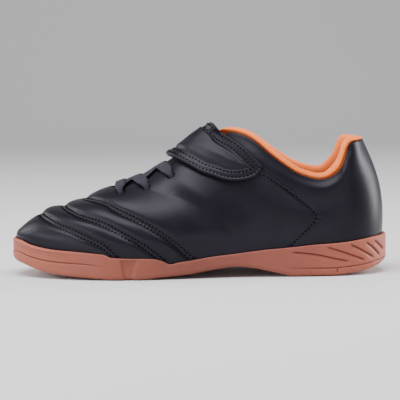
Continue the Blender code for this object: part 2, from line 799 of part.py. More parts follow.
def build_lining(material):
    thin = steady(column(LINING_THIN, 0), column(LINING_THIN, 1))
    size = steady(column(ROLL_SIZE, 0), column(ROLL_SIZE, 1))
    sections = []
    turns = [float(u) for u in columns_at(1.0) if share_at(u) < LINING_END]
    places = [(u, OUTER) for u in reversed(turns)] + [(u, INNER) for u in turns[1:]]
    skin = WALL + LINING_GAP
    for u, side in places:
        station = float(share_at(u))

        def frame_at(v, u=u, side=side):
            place = surface(np.array([u]), np.array([v]), side)[0]
            normal = normals(np.array([u]), np.array([v]), side)[0]
            if u <= 0:
                place[1] = normal[1] = 0
            return place, normal / np.linalg.norm(normal)

        ring = []
        for v in LINING_OUTER:
            place, normal = frame_at(v)
            ring.append(place - normal * skin)
        top, normal = frame_at(1.0)
        around = np.clip([u - EDGE_STEP, u + EDGE_STEP], 0, 1)
        tangent = np.diff(surface(around, np.ones(2), side), axis=0)[0]
        if u <= 0:
            tangent = np.array([0.0, float(side), 0.0])
        up = -side * np.cross(tangent, normal)
        up /= np.linalg.norm(up)
        full = thin(station)
        for rise, inward in ROLL:
            inward = inward if inward <= skin else skin + (inward - skin) * full
            ring.append(top + up * ROLL_RISE * rise * size(station) - normal * inward)
        for v, share in LINING_INNER:
            place, normal = frame_at(v)
            ring.append(place - normal * (skin + LINING_PAD * share * full + LINING_EDGE * (1 - share)))
        sections.append(ring)
    return new_object("collar_lining", *loft(sections), material)


def instep_frames(station, across):
    """Points of the whole arch over the instep, closed over the throat, and their directions."""
    u = np.full(len(across), float(angle(station)))
    place = np.zeros((len(across), 3))
    normal = np.zeros((len(across), 3))
    for k, y in enumerate(across):
        side = OUTER if y < 0 else INNER
        own = u[k : k + 1]
        edge = BALL_WIDTH * max(float(top_width(own)[0]), 0)
        v = height_at_width(own, max(abs(y), edge), side)
        place[k] = surface(own, v, side)[0]
        normal[k] = normals(own, v, side)[0]
        if abs(y) < edge + 1e-6:
            normal[k, 1] *= abs(y) / max(edge, 1e-6)
        place[k, 1] = y
    normal /= np.linalg.norm(normal, axis=-1, keepdims=True)
    return place, normal


def build_tongue(material):
    wide = steady(column(TONGUE, 0), column(TONGUE, 1))
    rings = []
    for station in np.linspace(TONGUE[0][0], TONGUE[-1][0], TONGUE_COLUMNS):
        across = np.array(TONGUE_ACROSS) * wide(station)
        place, normal = instep_frames(station, across)
        skin = WALL + TONGUE_GAP
        edge = 1 - TONGUE_THINNING * np.abs(TONGUE_ACROSS) ** 4
        top = place - normal * (skin + TONGUE_THICKNESS * (1 - edge) / 2)[:, None]
        low = place - normal * (skin + TONGUE_THICKNESS * (1 + edge) / 2)[:, None]
        half = float(throat_half(station))
        crown = TONGUE_CROWN * half / THROAT_HALF_WIDTH * np.clip(1 - (across / half) ** 2, 0, 1) ** 2
        rings.append(np.concatenate([top + normal * crown[:, None], low[::-1]]))
    return new_object("tongue", *loft(rings), material)


def build_strap(material):
    rings = []
    for k, (side, s0, v0, s1, v1, lift) in enumerate(STRAP):
        share = np.array(column(STRAP_ACROSS, 0))
        u = angle(s0 + (s1 - s0) * share)
        v = v0 + (v1 - v0) * share
        place = surface(u, v, side)
        normal = normals(u, v, side)
        if v0 == 1.0:
            place = (place + surface(u, v, INNER)) / 2
            normal = normal + normals(u, v, INNER)
            normal /= np.linalg.norm(normal, axis=-1, keepdims=True)
        sag = STRAP_SAG * 4 * share * (1 - share)
        raised = lift * (STRAP_LIFT * (1 + STRAP_REAR_LIFT * share) - sag)
        from_end = min(k, len(STRAP) - 1 - k, len(STRAP_PAD_ENDS) - 1)
        pad = STRAP_PAD * STRAP_PAD_ENDS[from_end]
        low = STRAP_GAP + raised
        thick = STRAP_THICKNESS * np.array(column(STRAP_ACROSS, 1))
        thick += pad * np.array(column(STRAP_ACROSS, 2))
        bottom = place + normal * low[:, None]
        top = place + normal * (low + thick)[:, None]
        rings.append(np.concatenate([top, bottom[::-1]]))
    return new_object("strap", *loft(rings), material)


def lace_strip(name, places, lifts, material=None):
    """A flat strip through (side, station, height along the rib) places, at these heights above it."""
    centre = []
    normal = []
    for side, station, v in places:
        u = np.array([float(angle(station))])
        v = np.array([v])
        place = surface(u, v, side)[0]
        direction = normals(u, v, side)[0]
        if v[0] >= 1:
            direction = direction + normals(u, v, -side)[0]
            place[1] = 0
        direction = direction / np.linalg.norm(direction)
        centre.append(place + direction * swell_at(u, v))
        normal.append(direction)
    centre = np.array(centre)
    normal = np.array(normal)
    along = np.gradient(centre, axis=0)
    across = np.cross(normal, along)
    across /= np.linalg.norm(across, axis=-1, keepdims=True)
    rings = []
    for p, n, a, low in zip(centre, normal, across, lifts):
        rings.append([p + a * x * LACE_WIDTH / 2 + n * (low + z * LACE_THICKNESS) for x, z in LACE_SECTION])
    return new_object(name, *loft(rings), material)


def build_laces(material):
    low = LACE_GAP
    s, v = HOLES[0]
    span = np.linspace(v - LACE_PAST_HOLE, 1.0, 5)
    places = [(OUTER, s, a) for a in span] + [(INNER, s, a) for a in span[-2::-1]]
    laces = lace_strip("laces", places, [low] * len(places), material)
    for k in range(1, len(HOLES)):
        for side in SIDES:
            s1, v1 = HOLES[k]
            s0 = HOLES[k - 1][0]
            middle = (s0 + s1) / 2
            places = []
            lifts = []
            for t in LACE_STEPS:
                past = LACE_PAST_HOLE * (1 - t)
                places.append((side, s1 + (middle - s1) * t, v1 + (1 - v1) * t - past))
                lifts.append(low)
            for t in LACE_END_STEPS:
                station = middle + (s0 - middle) * t * LACE_END_REACH[k - 1]
                u = np.array([float(angle(station))])
                top = height_at_width(u, THROAT_HALF_WIDTH * LACE_END_WIDTH * t, -side)
                places.append((-side, station, float(top[0])))
                lifts.append(low - (LACE_DIP + low) * t)
            tool = lace_strip(f"lace_{k}_{side}", places, lifts)
            combine(laces, tool, "UNION")
    return laces


def punch_holes(upper):
    for side in SIDES:
        for k, (station, v) in enumerate(HOLES):
            u = np.array([float(angle(station))])
            v = np.array([v])
            place = surface(u, v, side)[0]
            normal = normals(u, v, side)[0]
            first = np.cross(normal, [1.0, 0.0, 0.0])
            first /= np.linalg.norm(first)
            second = np.cross(normal, first)
            round_hole = [first * math.cos(a) + second * math.sin(a) for a in HOLE_TURNS]
            ends = [place + normal * HOLE_REACH * way for way in SIDES]
            rings = [[end + HOLE_RADIUS * arm for arm in round_hole] for end in ends]
            combine(upper, new_object(f"hole_{k}_{side}", *loft(rings)), "DIFFERENCE")


def main():
    for obj in list(bpy.data.objects):
        bpy.data.objects.remove(obj, do_unlink=True)
    leather = new_material("black_leather", (0.020, 0.018, 0.026), 0.42)
    gum = new_material("gum_rubber", (0.390, 0.170, 0.115), 0.55)
    orange = new_material("orange_mesh", (0.820, 0.230, 0.090), 0.85)
    lace = new_material("black_lace", (0.018, 0.017, 0.022), 0.80)
    padding = new_material("tongue_fabric", (0.020, 0.018, 0.024), 0.75)
    liner = new_material("insole_fabric", (0.035, 0.033, 0.038), 0.90)
    build_outsole(gum)
    upper = build_upper(leather)
    punch_holes(upper)
    build_insole(liner)
    build_lining(orange)
    build_tongue(padding)
    build_strap(leather)
    build_laces(lace)


main()
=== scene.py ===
"""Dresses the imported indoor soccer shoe: fine skins over the same surfaces as its solids.

Metres. The toe points along -X, the outer side of the foot faces -Y, and +Z is up.
"""

import math

import bmesh
import bpy
import numpy as np
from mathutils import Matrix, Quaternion, Vector
from mathutils.bvhtree import BVHTree


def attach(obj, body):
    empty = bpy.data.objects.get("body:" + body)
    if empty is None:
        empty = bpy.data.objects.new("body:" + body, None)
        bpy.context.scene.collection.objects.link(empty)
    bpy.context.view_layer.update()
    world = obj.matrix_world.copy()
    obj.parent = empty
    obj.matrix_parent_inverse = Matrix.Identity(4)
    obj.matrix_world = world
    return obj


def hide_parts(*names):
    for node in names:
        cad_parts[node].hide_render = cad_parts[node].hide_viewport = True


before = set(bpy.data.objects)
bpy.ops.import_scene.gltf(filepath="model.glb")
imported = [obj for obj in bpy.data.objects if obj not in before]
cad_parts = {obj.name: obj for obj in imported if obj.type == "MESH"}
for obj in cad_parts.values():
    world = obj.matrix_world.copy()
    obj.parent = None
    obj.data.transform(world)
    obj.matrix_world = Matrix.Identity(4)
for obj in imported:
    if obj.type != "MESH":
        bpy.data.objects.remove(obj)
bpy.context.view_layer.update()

# Overall sizes
SHOE_LENGTH = 0.2070
BALL_WIDTH = 0.0760
COLLAR_HEIGHT = 0.0730
SOLE_HEIGHT = 0.0210

# Upper
WALL = 0.0015
PUFF_RISE = 0.0015
PUFF_LENGTH = 0.100
TOE_SWELL = 0.5
THROAT_HALF_WIDTH = 0.0085
THROAT_FRONT = 0.737
THROAT_BACK = 0.300
THROAT_END_LENGTH = 0.045
EDGE_DRAW = 3
HOLE_RADIUS = 0.0017
HOLE_DEPTH = 0.0014
COLLAR_PAD = 0.0015
EDGE_TURN = 0.0004

# Sole
SOLE_LIP = 0.0020
SOLE_GAP = 0.0004
FOOT_ROUND = 0.0022
FIN_DEPTH = 0.0009
FIN_EDGES = (0.00022, 0.0010)
FIN_SHADE = 0.00034
LIP_ROUND = 0.0008
INNER_ROUND = 0.0006
LIP_FLARE = 0.0005
FOOT_BAND = 0.00030
LINE_GROOVE = 0.00055
LINE_STEP = 0.00022
LINE_HALF = 0.00026
BEAD_RISE = 0.00025
BEAD_DOWN = 0.0010
BEAD_HALF = 0.0006
FINE_LINES = (0.0021, 0.0034)
FINE_LINE_DEPTH = 0.00020
FINE_LINE_HALF = 0.00022
SLIT_STATION = 0.139
SLIT_DEPTH = 0.0005
SLIT_HALF = 0.00035
NOTCH_EDGE = 0.003
NOTCH_DEPTH = 0.0011
TREAD_DEPTH = 0.0013
TREAD_RIM = 0.0070
TREAD_PITCH = 0.0042
TREAD_ZIGZAG = (0.012, 0.0075)
ARCH_HOLLOW = 0.0006

# Insole, collar lining, tongue
INSOLE_THICKNESS = 0.0030
INSOLE_ROUND = 0.0008
INSOLE_BED = 0.0006
FIT = 0.0003
INSOLE_FIT = 0.0006
LINING_PAD = 0.0034
LINING_GAP = 0.0006
LINING_EDGE = 0.0006
ROLL_RISE = 0.0033
TONGUE_THICKNESS = 0.0030
TONGUE_THINNING = 0.6
TONGUE_GAP = 0.0004
TONGUE_CROWN = 0.0024

# Strap, laces and stitches
STRAP_THICKNESS = 0.0022
STRAP_PAD = 0.0017
STRAP_LIFT = 0.0027
STRAP_SAG = 0.0030
STRAP_GAP = 0.0007
STRAP_EDGE_ROUND = 0.0008
STRAP_BORDER = 0.0062
STRAP_PAD_EDGE = 0.0080
STRAP_CROWN_EDGE = 0.0150
STRAP_GROOVE = 0.00012
STRAP_GROOVE_HALF = 0.00045
STRAP_LINES = ((0.0060, -0.00022), (0.0009, 0.00022))
STRAP_LINE_HALF = 0.0005
STRAP_FOLD_HALF = 0.0045
LACE_WIDTH = 0.0060
LACE_THICKNESS = 0.0016
LACE_GAP = 0.0008
LACE_DIP = 0.0004
LACE_DIVE = (0.0034, 0.0016)
LACE_START = 0.0005
LACE_NARROW = (0.0022, 0.0075)
LACE_END_REACH = (1.0, 1.35)
LACE_END_WIDTH = 0.62
STITCH_PITCH = 0.0021
STITCH_LENGTH = 0.0013
STITCH_RADIUS = 0.00038
STITCH_ARCH = 0.00018
SKIN_REACH = 0.006
LINE_POINTS = 160
SEAM_HALF = 0.00105
SEAM_DEPTH = 0.00040
SEAM_SPREAD = 0.0023
HEEL_SEAM_DEPTH = 0.00022
HEEL_SEAM_SPREAD = 0.0010
DIMPLE_DEPTH = 0.00017
DIMPLE_HALF = 0.0005
PUCKER_RISE = 0.00015
PUCKER_OUT = 0.0010
PUCKER_HALF = 0.0007
STRAP_ROWS = (0.0019, 0.0047)

# Outline of the sole: station, outer half width, inner half width
PLAN = (
    (0.000, 0.000, 0.000),
    (0.030, 0.232, 0.232),
    (0.100, 0.350, 0.350),
    (0.200, 0.385, 0.378),
    (0.320, 0.393, 0.362),
    (0.450, 0.418, 0.360),
    (0.570, 0.468, 0.415),
    (0.680, 0.500, 0.492),
    (0.770, 0.470, 0.510),
    (0.850, 0.398, 0.470),
    (0.915, 0.312, 0.392),
    (0.965, 0.208, 0.275),
    (1.000, 0.000, 0.000),
)
# Collar edge and ridge: station at the foot, station at the top, half width, two heights
TOP_LINE = (
    (0.000, 0.0610, 0.000, 1.000, 1.000),
    (0.020, 0.0655, 0.112, 1.000, 1.000),
    (0.045, 0.0760, 0.184, 0.997, 0.997),
    (0.070, 0.0890, 0.230, 0.992, 0.992),
    (0.085, 0.0990, 0.250, 0.978, 0.980),
    (0.095, 0.1060, 0.260, 0.945, 0.950),
    (0.105, 0.1130, 0.267, 0.884, 0.895),
    (0.120, 0.1230, 0.274, 0.808, 0.825),
    (0.140, 0.1410, 0.280, 0.753, 0.770),
    (0.180, 0.1800, 0.287, 0.716, 0.735),
    (0.217, 0.2170, 0.289, 0.738, 0.755),
    (0.249, 0.2490, 0.289, 0.778, 0.790),
    (0.280, 0.2800, 0.283, 0.838, 0.842),
    (0.312, 0.3120, 0.270, 0.907, 0.902),
    (0.343, 0.3430, 0.243, 0.984, 0.970),
    (0.374, 0.3740, 0.204, 1.041, 1.022),
    (0.406, 0.4060, 0.151, 1.068, 1.050),
    (0.430, 0.4300, 0.099, 1.072, 1.060),
    (0.460, 0.4600, 0.028, 1.056, 1.056),
    (0.485, 0.4850, 0.000, 1.022, 1.022),
    (0.520, 0.5200, 0.000, 0.958, 0.958),
    (0.560, 0.5600, 0.000, 0.883, 0.883),
    (0.600, 0.6000, 0.000, 0.804, 0.804),
    (0.650, 0.6500, 0.000, 0.734, 0.734),
    (0.700, 0.7000, 0.000, 0.677, 0.677),
    (0.745, 0.7450, 0.000, 0.635, 0.635),
    (0.805, 0.8044, 0.000, 0.566, 0.566),
    (0.870, 0.8625, 0.000, 0.513, 0.513),
    (0.920, 0.9018, 0.000, 0.484, 0.484),
    (0.960, 0.9299, 0.000, 0.448, 0.448),
    (1.000, 0.9550, 0.000, 0.401, 0.401),
)
# Roundness of a rib: station, outward swell, rise of the side, reach of the top, fall at the top
FULLNESS = (
    (0.000, 0.034, 0.57, 0.36, 0.21),
    (0.100, 0.022, 0.40, 0.46, 0.28),
    (0.220, 0.022, 0.35, 0.45, 0.30),
    (0.340, 0.022, 0.38, 0.40, 0.30),
    (0.420, 0.020, 0.40, 0.40, 0.20),
    (0.480, 0.020, 0.42, 0.40, 0.04),
    (0.560, 0.020, 0.42, 0.42, 0.00),
    (0.700, 0.024, 0.48, 0.48, 0.00),
    (0.850, 0.030, 0.55, 0.56, 0.00),
    (1.000, 0.010, 0.55, 0.60, 0.00),
)
FREE_FALL = 0.2
# Foot of the ribs: station, height (share of the sole height)
FOOT = (
    (0.000, 1.000),
    (0.100, 0.885),
    (0.250, 0.755),
    (0.400, 0.595),
    (0.500, 0.485),
    (0.576, 0.440),
    (0.650, 0.490),
    (0.710, 0.540),
    (0.760, 0.620),
    (0.820, 0.700),
    (0.900, 0.765),
    (0.950, 0.850),
    (1.000, 0.985),
)
# Sole: station, underside, inside floor and lip heights (shares of the sole height)
SOLE = (
    (0.000, 0.270, 0.52, 1.000),
    (0.030, 0.170, 0.51, 0.975),
    (0.060, 0.100, 0.50, 0.935),
    (0.110, 0.035, 0.48, 0.870),
    (0.150, 0.000, 0.47, 0.840),
    (0.190, 0.000, 0.46, 0.820),
    (0.255, 0.000, 0.45, 0.760),
    (0.285, 0.062, 0.45, 0.735),
    (0.330, 0.165, 0.45, 0.700),
    (0.370, 0.245, 0.45, 0.655),
    (0.405, 0.275, 0.44, 0.615),
    (0.445, 0.230, 0.41, 0.575),
    (0.480, 0.180, 0.37, 0.535),
    (0.520, 0.110, 0.32, 0.470),
    (0.551, 0.082, 0.27, 0.435),
    (0.576, 0.062, 0.25, 0.392),
    (0.600, 0.045, 0.24, 0.490),
    (0.625, 0.018, 0.23, 0.540),
    (0.650, 0.000, 0.23, 0.550),
    (0.690, 0.000, 0.23, 0.557),
    (0.730, 0.000, 0.23, 0.580),
    (0.750, 0.012, 0.24, 0.655),
    (0.775, 0.028, 0.25, 0.682),
    (0.830, 0.062, 0.28, 0.724),
    (0.885, 0.110, 0.34, 0.755),
    (0.920, 0.165, 0.39, 0.800),
    (0.950, 0.240, 0.43, 0.860),
    (0.980, 0.315, 0.49, 0.960),
    (1.000, 0.340, 0.53, 0.990),
)
# Rounding of the sole's edges: station, share of the plain rounding
ROUNDING = ((0.0, 1.7), (0.03, 1.2), (0.08, 1.0), (0.86, 1.0), (0.95, 1.5), (1.0, 2.1))
# Moulded line round the side of the sole: station, height, depth
SOLE_LINE = (
    (0.000, 0.20, 1.0),
    (0.180, 0.25, 1.0),
    (0.240, 0.27, 0.5),
    (0.290, 0.29, 0.0),
    (0.740, 0.50, 0.0),
    (0.790, 0.55, 0.8),
    (0.880, 0.52, 1.0),
    (0.960, 0.50, 1.0),
    (1.000, 0.50, 1.0),
)
# Slanted creases in the heel's side: station and height at the top end, then at the low end
FINS = (
    (0.260, 0.85, 0.107, 0.41),
    (0.166, 0.92, 0.065, 0.37),
    (0.104, 0.93, 0.041, 0.38),
    (0.060, 0.90, 0.023, 0.40),
    (0.037, 0.88, 0.011, 0.52),
)
# Flex notch in the side: stations of its rear and front edge at the top, then at the bottom
NOTCH = (0.662, 0.706, 0.675, 0.697)
# Seams of the toe pleats: height along the rib, stations of the rear, middle and front seam.
# The last row mirrors the seams over the ridge, so that they cross it squarely.
SEAMS = (
    (0.00, 0.516, 0.594, 0.722),
    (0.10, 0.551, 0.631, 0.750),
    (0.20, 0.589, 0.679, 0.799),
    (0.30, 0.631, 0.725, 0.838),
    (0.40, 0.672, 0.772, 0.871),
    (0.52, 0.717, 0.815, 0.899),
    (0.66, 0.760, 0.843, 0.922),
    (0.82, 0.792, 0.862, 0.939),
    (1.00, 0.804, 0.870, 0.946),
    (1.18, 0.792, 0.862, 0.939),
)
PUFF_FADE = ((0.0, 0.0), (0.06, 0.05), (0.20, 0.75), (0.45, 1.0), (1.0, 1.0))
REAR_STATIONS = (
    0.000, 0.008, 0.024, 0.045, 0.066, 0.082, 0.092, 0.101, 0.111, 0.124, 0.145, 0.175,
    0.210, 0.245, 0.280, 0.315, 0.350, 0.380, 0.410, 0.440, 0.465, 0.490, 0.515, 0.542,
    0.568, 0.590, 0.612, 0.632, 0.652, 0.672,
)
TURN_ROW = 0.40
WARP_FROM = 0.200
# Lace holes: station, height along the rib
HOLES = ((0.706, 0.727), (0.638, 0.690), (0.573, 0.690))
# Strap: side, front station, front height, rear station, rear height, share of lift
STRAP = (
    (1, 0.534, 0.490, 0.424, 0.530, 0.00),
    (1, 0.537, 0.580, 0.427, 0.620, 0.00),
    (1, 0.542, 0.675, 0.430, 0.710, 0.07),
    (1, 0.549, 0.770, 0.433, 0.800, 0.32),
    (1, 0.560, 0.885, 0.432, 0.905, 0.84),
    (-1, 0.577, 1.000, 0.428, 1.000, 1.08),
    (-1, 0.562, 0.850, 0.431, 0.965, 0.84),
    (-1, 0.541, 0.735, 0.429, 0.945, 0.32),
    (-1, 0.516, 0.637, 0.413, 0.922, 0.08),
    (-1, 0.491, 0.560, 0.397, 0.903, 0.00),
    (-1, 0.464, 0.522, 0.383, 0.885, 0.00),
    (-1, 0.437, 0.512, 0.371, 0.868, 0.00),
    (-1, 0.412, 0.523, 0.361, 0.853, 0.00),
    (-1, 0.388, 0.550, 0.352, 0.840, 0.00),
    (-1, 0.368, 0.592, 0.345, 0.830, 0.00),
    (-1, 0.352, 0.640, 0.339, 0.821, 0.00),
    (-1, 0.341, 0.698, 0.334, 0.808, 0.00),
    (-1, 0.334, 0.745, 0.331, 0.790, 0.00),
)
STRAP_REAR_LIFT = 1.35
# Collar lining
LINING_END = 0.445
LINING_OUTER = (0.40, 0.60, 0.80, 0.97)
ROLL = ((0.24, 0.0021), (0.24, 0.0002), (0.44, -0.0003), (0.80, 0.0006), (1.00, 0.0024), (0.80, 0.0044))
LINING_INNER = ((0.97, 1.00), (0.80, 1.00), (0.60, 0.75), (0.40, 0.30))
ROLL_SIZE = (
    (0.0, 0.45), (0.05, 0.6), (0.085, 1.0), (0.125, 1.6), (0.17, 1.2),
    (0.30, 1.1), (0.42, 1.05), (0.438, 0.9), (0.446, 0.6), (1.0, 0.6),
)
EDGE_STEP = 0.004
LINING_THIN = ((0.0, 1.0), (0.30, 1.0), (0.38, 0.6), (0.436, 0.35), (1.0, 0.35))
# Tongue: station, half width
TONGUE = ((0.447, 0.0080), (0.480, 0.0100), (0.530, 0.0130), (0.690, 0.0130), (0.722, 0.0110))
# Stitched seam of the heel panel: station, height along the rib
HEEL_SEAM = (
    (0.331, 0.716),
    (0.312, 0.716),
    (0.277, 0.697),
    (0.248, 0.660),
    (0.228, 0.605),
    (0.208, 0.532),
    (0.195, 0.445),
    (0.195, 0.370),
    (0.210, 0.264),
    (0.232, 0.152),
    (0.250, 0.066),
    (0.261, 0.013),
)

OUTER, INNER = -1, 1
SIDES = (OUTER, INNER)


def angle(share):
    """Position round the outline, 0 at the heel and 1 at the toe, of a share of the length."""
    return np.arccos(np.clip(1 - 2 * np.asarray(share, float), -1, 1)) / math.pi


def share_at(u):
    """The share of the length at a position round the outline."""
    return (1 - np.cos(math.pi * np.asarray(u, float))) / 2


def column(table, k):
    return [row[k] for row in table]


def spline(x, y, even):
    """A cubic through the knots, flat at both ends if even, else straight there."""
    x = np.asarray(x, float)
    y = np.asarray(y, float)
    h = np.diff(x)
    rise = np.diff(y) / h
    n = len(x)
    a = np.zeros((n, n))
    b = np.zeros(n)
    for i in range(1, n - 1):
        a[i, i - 1 : i + 2] = h[i - 1], 2 * (h[i - 1] + h[i]), h[i]
        b[i] = 6 * (rise[i] - rise[i - 1])
    a[0, 0] = a[-1, -1] = 1
    if even:
        a[0, :2] = 2 * h[0], h[0]
        a[-1, -2:] = h[-1], 2 * h[-1]
        b[0] = 6 * rise[0]
        b[-1] = -6 * rise[-1]
    bend = np.linalg.solve(a, b)

    def value(t):
        t = np.clip(np.asarray(t, float), x[0], x[-1])
        i = np.clip(np.searchsorted(x, t) - 1, 0, n - 2)
        p = (x[i + 1] - t) / h[i]
        q = 1 - p
        curve = (p**3 - p) * bend[i] + (q**3 - q) * bend[i + 1]
        return p * y[i] + q * y[i + 1] + curve * h[i] ** 2 / 6

    return value


def steady(x, y):
    """A smooth curve through the knots that never overshoots them."""
    x = np.asarray(x, float)
    y = np.asarray(y, float)
    h = np.diff(x)
    rise = np.diff(y) / h
    slope = np.zeros(len(x))
    for i in range(1, len(x) - 1):
        if rise[i - 1] * rise[i] > 0:
            left = 2 * h[i] + h[i - 1]
            right = h[i] + 2 * h[i - 1]
            slope[i] = (left + right) / (left / rise[i - 1] + right / rise[i])

    def value(t):
        t = np.clip(np.asarray(t, float), x[0], x[-1])
        i = np.clip(np.searchsorted(x, t) - 1, 0, len(x) - 2)
        k = (t - x[i]) / h[i]
        start = (2 * k**3 - 3 * k**2 + 1) * y[i] + (k**3 - 2 * k**2 + k) * h[i] * slope[i]
        end = (3 * k**2 - 2 * k**3) * y[i + 1] + (k**3 - k**2) * h[i] * slope[i + 1]
        return start + end

    return value


def curve_of(table):
    return steady(column(table, 0), column(table, 1))


plan_u = angle(column(PLAN, 0))
half_width = {side: spline(plan_u, column(PLAN, k), False) for side, k in ((OUTER, 1), (INNER, 2))}
top_u = angle(column(TOP_LINE, 0))
top_station = spline(top_u, column(TOP_LINE, 1), True)
top_width = spline(top_u, column(TOP_LINE, 2), False)
top_height = {side: spline(top_u, column(TOP_LINE, k), True) for side, k in ((OUTER, 3), (INNER, 4))}
full_u = angle(column(FULLNESS, 0))
fullness = [steady(full_u, column(FULLNESS, k)) for k in range(1, 5)]
foot_height = spline(angle(column(FOOT, 0)), column(FOOT, 1), True)
sole_u = angle(column(SOLE, 0))
under_height, floor_height, lip_height = (steady(sole_u, column(SOLE, k)) for k in (1, 2, 3))
rounding = steady(angle(column(ROUNDING, 0)), column(ROUNDING, 1))
line_u = angle(column(SOLE_LINE, 0))
line_height, line_depth = (steady(line_u, column(SOLE_LINE, k)) for k in (1, 2))
seam_station = [spline(column(SEAMS, 0), angle(column(SEAMS, k)), False) for k in (1, 2, 3)]
puff_fade = curve_of(PUFF_FADE)


def floor_z(u):
    return SOLE_HEIGHT * floor_height(u)


def lip_z(u):
    return SOLE_HEIGHT * lip_height(u)


def under_z(u):
    return SOLE_HEIGHT * under_height(u)


def plan(u, side, out=0.0):
    """Points of the sole's outline, moved out square to it, and the outward direction."""
    u = np.asarray(u, float)

    def at(w):
        x = (0.5 - share_at(w)) * SHOE_LENGTH
        return np.stack([x, side * BALL_WIDTH * half_width[side](w)], -1)

    step = 1e-4
    along = at(np.clip(u + step, 0, 1)) - at(np.clip(u - step, 0, 1))
    normal = np.stack([along[..., 1], -along[..., 0]], -1) * side
    normal /= np.linalg.norm(normal, axis=-1, keepdims=True)
    normal = np.where((u <= 0)[..., None], [1.0, 0.0], normal)
    normal = np.where((u >= 1)[..., None], [-1.0, 0.0], normal)
    return at(u) + normal * np.asarray(out, float)[..., None], normal


def joined(flat, z):
    """Flat points with their heights."""
    return np.concatenate([flat, np.asarray(z, float)[..., None]], -1)


def rib(u, side):
    """The four control points of the rib at each u: foot, side, top, and collar edge or ridge."""
    u = np.asarray(u, float)
    foot, normal = plan(u, side, -SOLE_LIP)
    p0 = joined(foot, SOLE_HEIGHT * foot_height(u))
    wide = side * BALL_WIDTH * np.maximum(top_width(u), 0)
    top = np.stack([(0.5 - top_station(u)) * SHOE_LENGTH, wide], -1)
    p3 = joined(top, COLLAR_HEIGHT * top_height[side](u))
    out = foot - top
    distance = np.linalg.norm(out, axis=-1)
    out = out / distance[..., None]
    height = p3[..., 2] - p0[..., 2]
    swell, rise, reach, fall = (f(u) for f in fullness)
    step = 1e-3
    after = np.clip(u + step, 0, 1)
    before = np.clip(u - step, 0, 1)
    dz = COLLAR_HEIGHT * (top_height[side](after) - top_height[side](before))
    dx = -SHOE_LENGTH * (top_station(after) - top_station(before))
    on_ridge = np.clip(1 - fall / FREE_FALL, 0, 1)
    slope = dz / np.minimum(dx, -1e-9) * on_ridge
    arm = reach * distance
    p1 = p0 + joined(normal * (swell * BALL_WIDTH)[..., None], rise * height)
    p2 = p3 + joined(out * arm[..., None], arm * out[..., 0] * slope - fall * height)
    return p0, p1, p2, p3


def surface(u, v, side):
    """Points of the plain upper at position u round it and height v along the rib."""
    p0, p1, p2, p3 = rib(u, side)
    v = np.asarray(v, float)[..., None]
    w = 1 - v
    return w**3 * p0 + 3 * w * w * v * p1 + 3 * w * v * v * p2 + v**3 * p3


def unit(a):
    return a / np.maximum(np.linalg.norm(a, axis=-1, keepdims=True), 1e-12)


def normals(u, v, side):
    """Outward directions of the surface."""
    step = 1e-3
    u = np.clip(u, 0.002, 0.996)
    v = np.clip(v, 0.002, 0.985)
    along = surface(u + step, v, side) - surface(u - step, v, side)
    up = surface(u, v + step, side) - surface(u, v - step, side)
    return unit(np.cross(along, up) * side)


def throat_half(station):
    behind = np.clip((THROAT_FRONT - station) / THROAT_END_LENGTH, 0, 1)
    half = THROAT_HALF_WIDTH * np.sqrt(1 - (1 - behind) ** 2)
    return np.where(station < THROAT_BACK, 0, half)


def height_at_width(u, wide, side):
    """The height along each rib where it stands this far from the middle."""
    low = np.full(np.shape(u), 0.3)
    high = np.ones(np.shape(u))
    for _ in range(30):
        middle = (low + high) / 2
        outside = np.abs(surface(u, middle, side)[..., 1]) > wide
        low = np.where(outside, middle, low)
        high = np.where(outside, high, middle)
    return high


def rib_end(u, side):
    """Where each rib stops at the edge of the throat."""
    wide = throat_half(top_station(u))
    own = BALL_WIDTH * np.maximum(top_width(u), 0)
    return np.where(wide > own, height_at_width(u, wide, side), 1.0)


def rib_height(u, f, side):
    """Height along each rib of mesh row f: the throat's edge draws down only the rows beside it."""
    return f - (1 - rib_end(u, side)) * f**EDGE_DRAW


def warped(reference, f):
    """Columns behind the toe that lean forward with the rear seam as they go up."""
    turn = seam_station[0](TURN_ROW)
    start = angle(WARP_FROM)
    k = np.clip((reference - start) / (turn - start), 0, 1)
    return reference + (3 * k**2 - 2 * k**3) * (seam_station[0](f) - turn)


def swell_at(u, f):
    """How far the padded pleats swell out of the plain surface."""
    u = np.asarray(u, float)
    rear, middle, front = (seam(f) for seam in seam_station)
    back = np.clip((rear - u) / PUFF_LENGTH, 0, 1)
    share = np.sin(math.pi * back**0.6)
    for low, high in ((rear, middle), (middle, front)):
        t = np.clip((u - low) / (high - low), 0, 1)
        share = share + np.sin(math.pi * t) ** 0.8
    t = np.clip((u - front) / (1 - front), 0, 1)
    share = share + TOE_SWELL * np.sin(math.pi * t) * (1 - t)
    return PUFF_RISE * share * puff_fade(f)


def smooth(low, high, x):
    t = np.clip((np.asarray(x, float) - low) / (high - low), 0, 1)
    return t * t * (3 - 2 * t)


def between(rise, fall, x):
    """1 between two soft steps, each given by its start and its end."""
    return smooth(*rise, x) * (1 - smooth(*fall, x))


def bell(x, half):
    """A soft bump of height 1 round 0."""
    return np.exp(-((x / half) ** 2))


def lengths(points):
    """The distance of each point along a row of points."""
    return np.concatenate([[0], np.cumsum(np.linalg.norm(np.diff(points, axis=0), axis=1))])


def through(knots, points, t):
    """Places on a smooth curve through the points."""
    return np.stack([spline(knots, points[:, k], False)(t) for k in range(3)], -1)


# Meshes


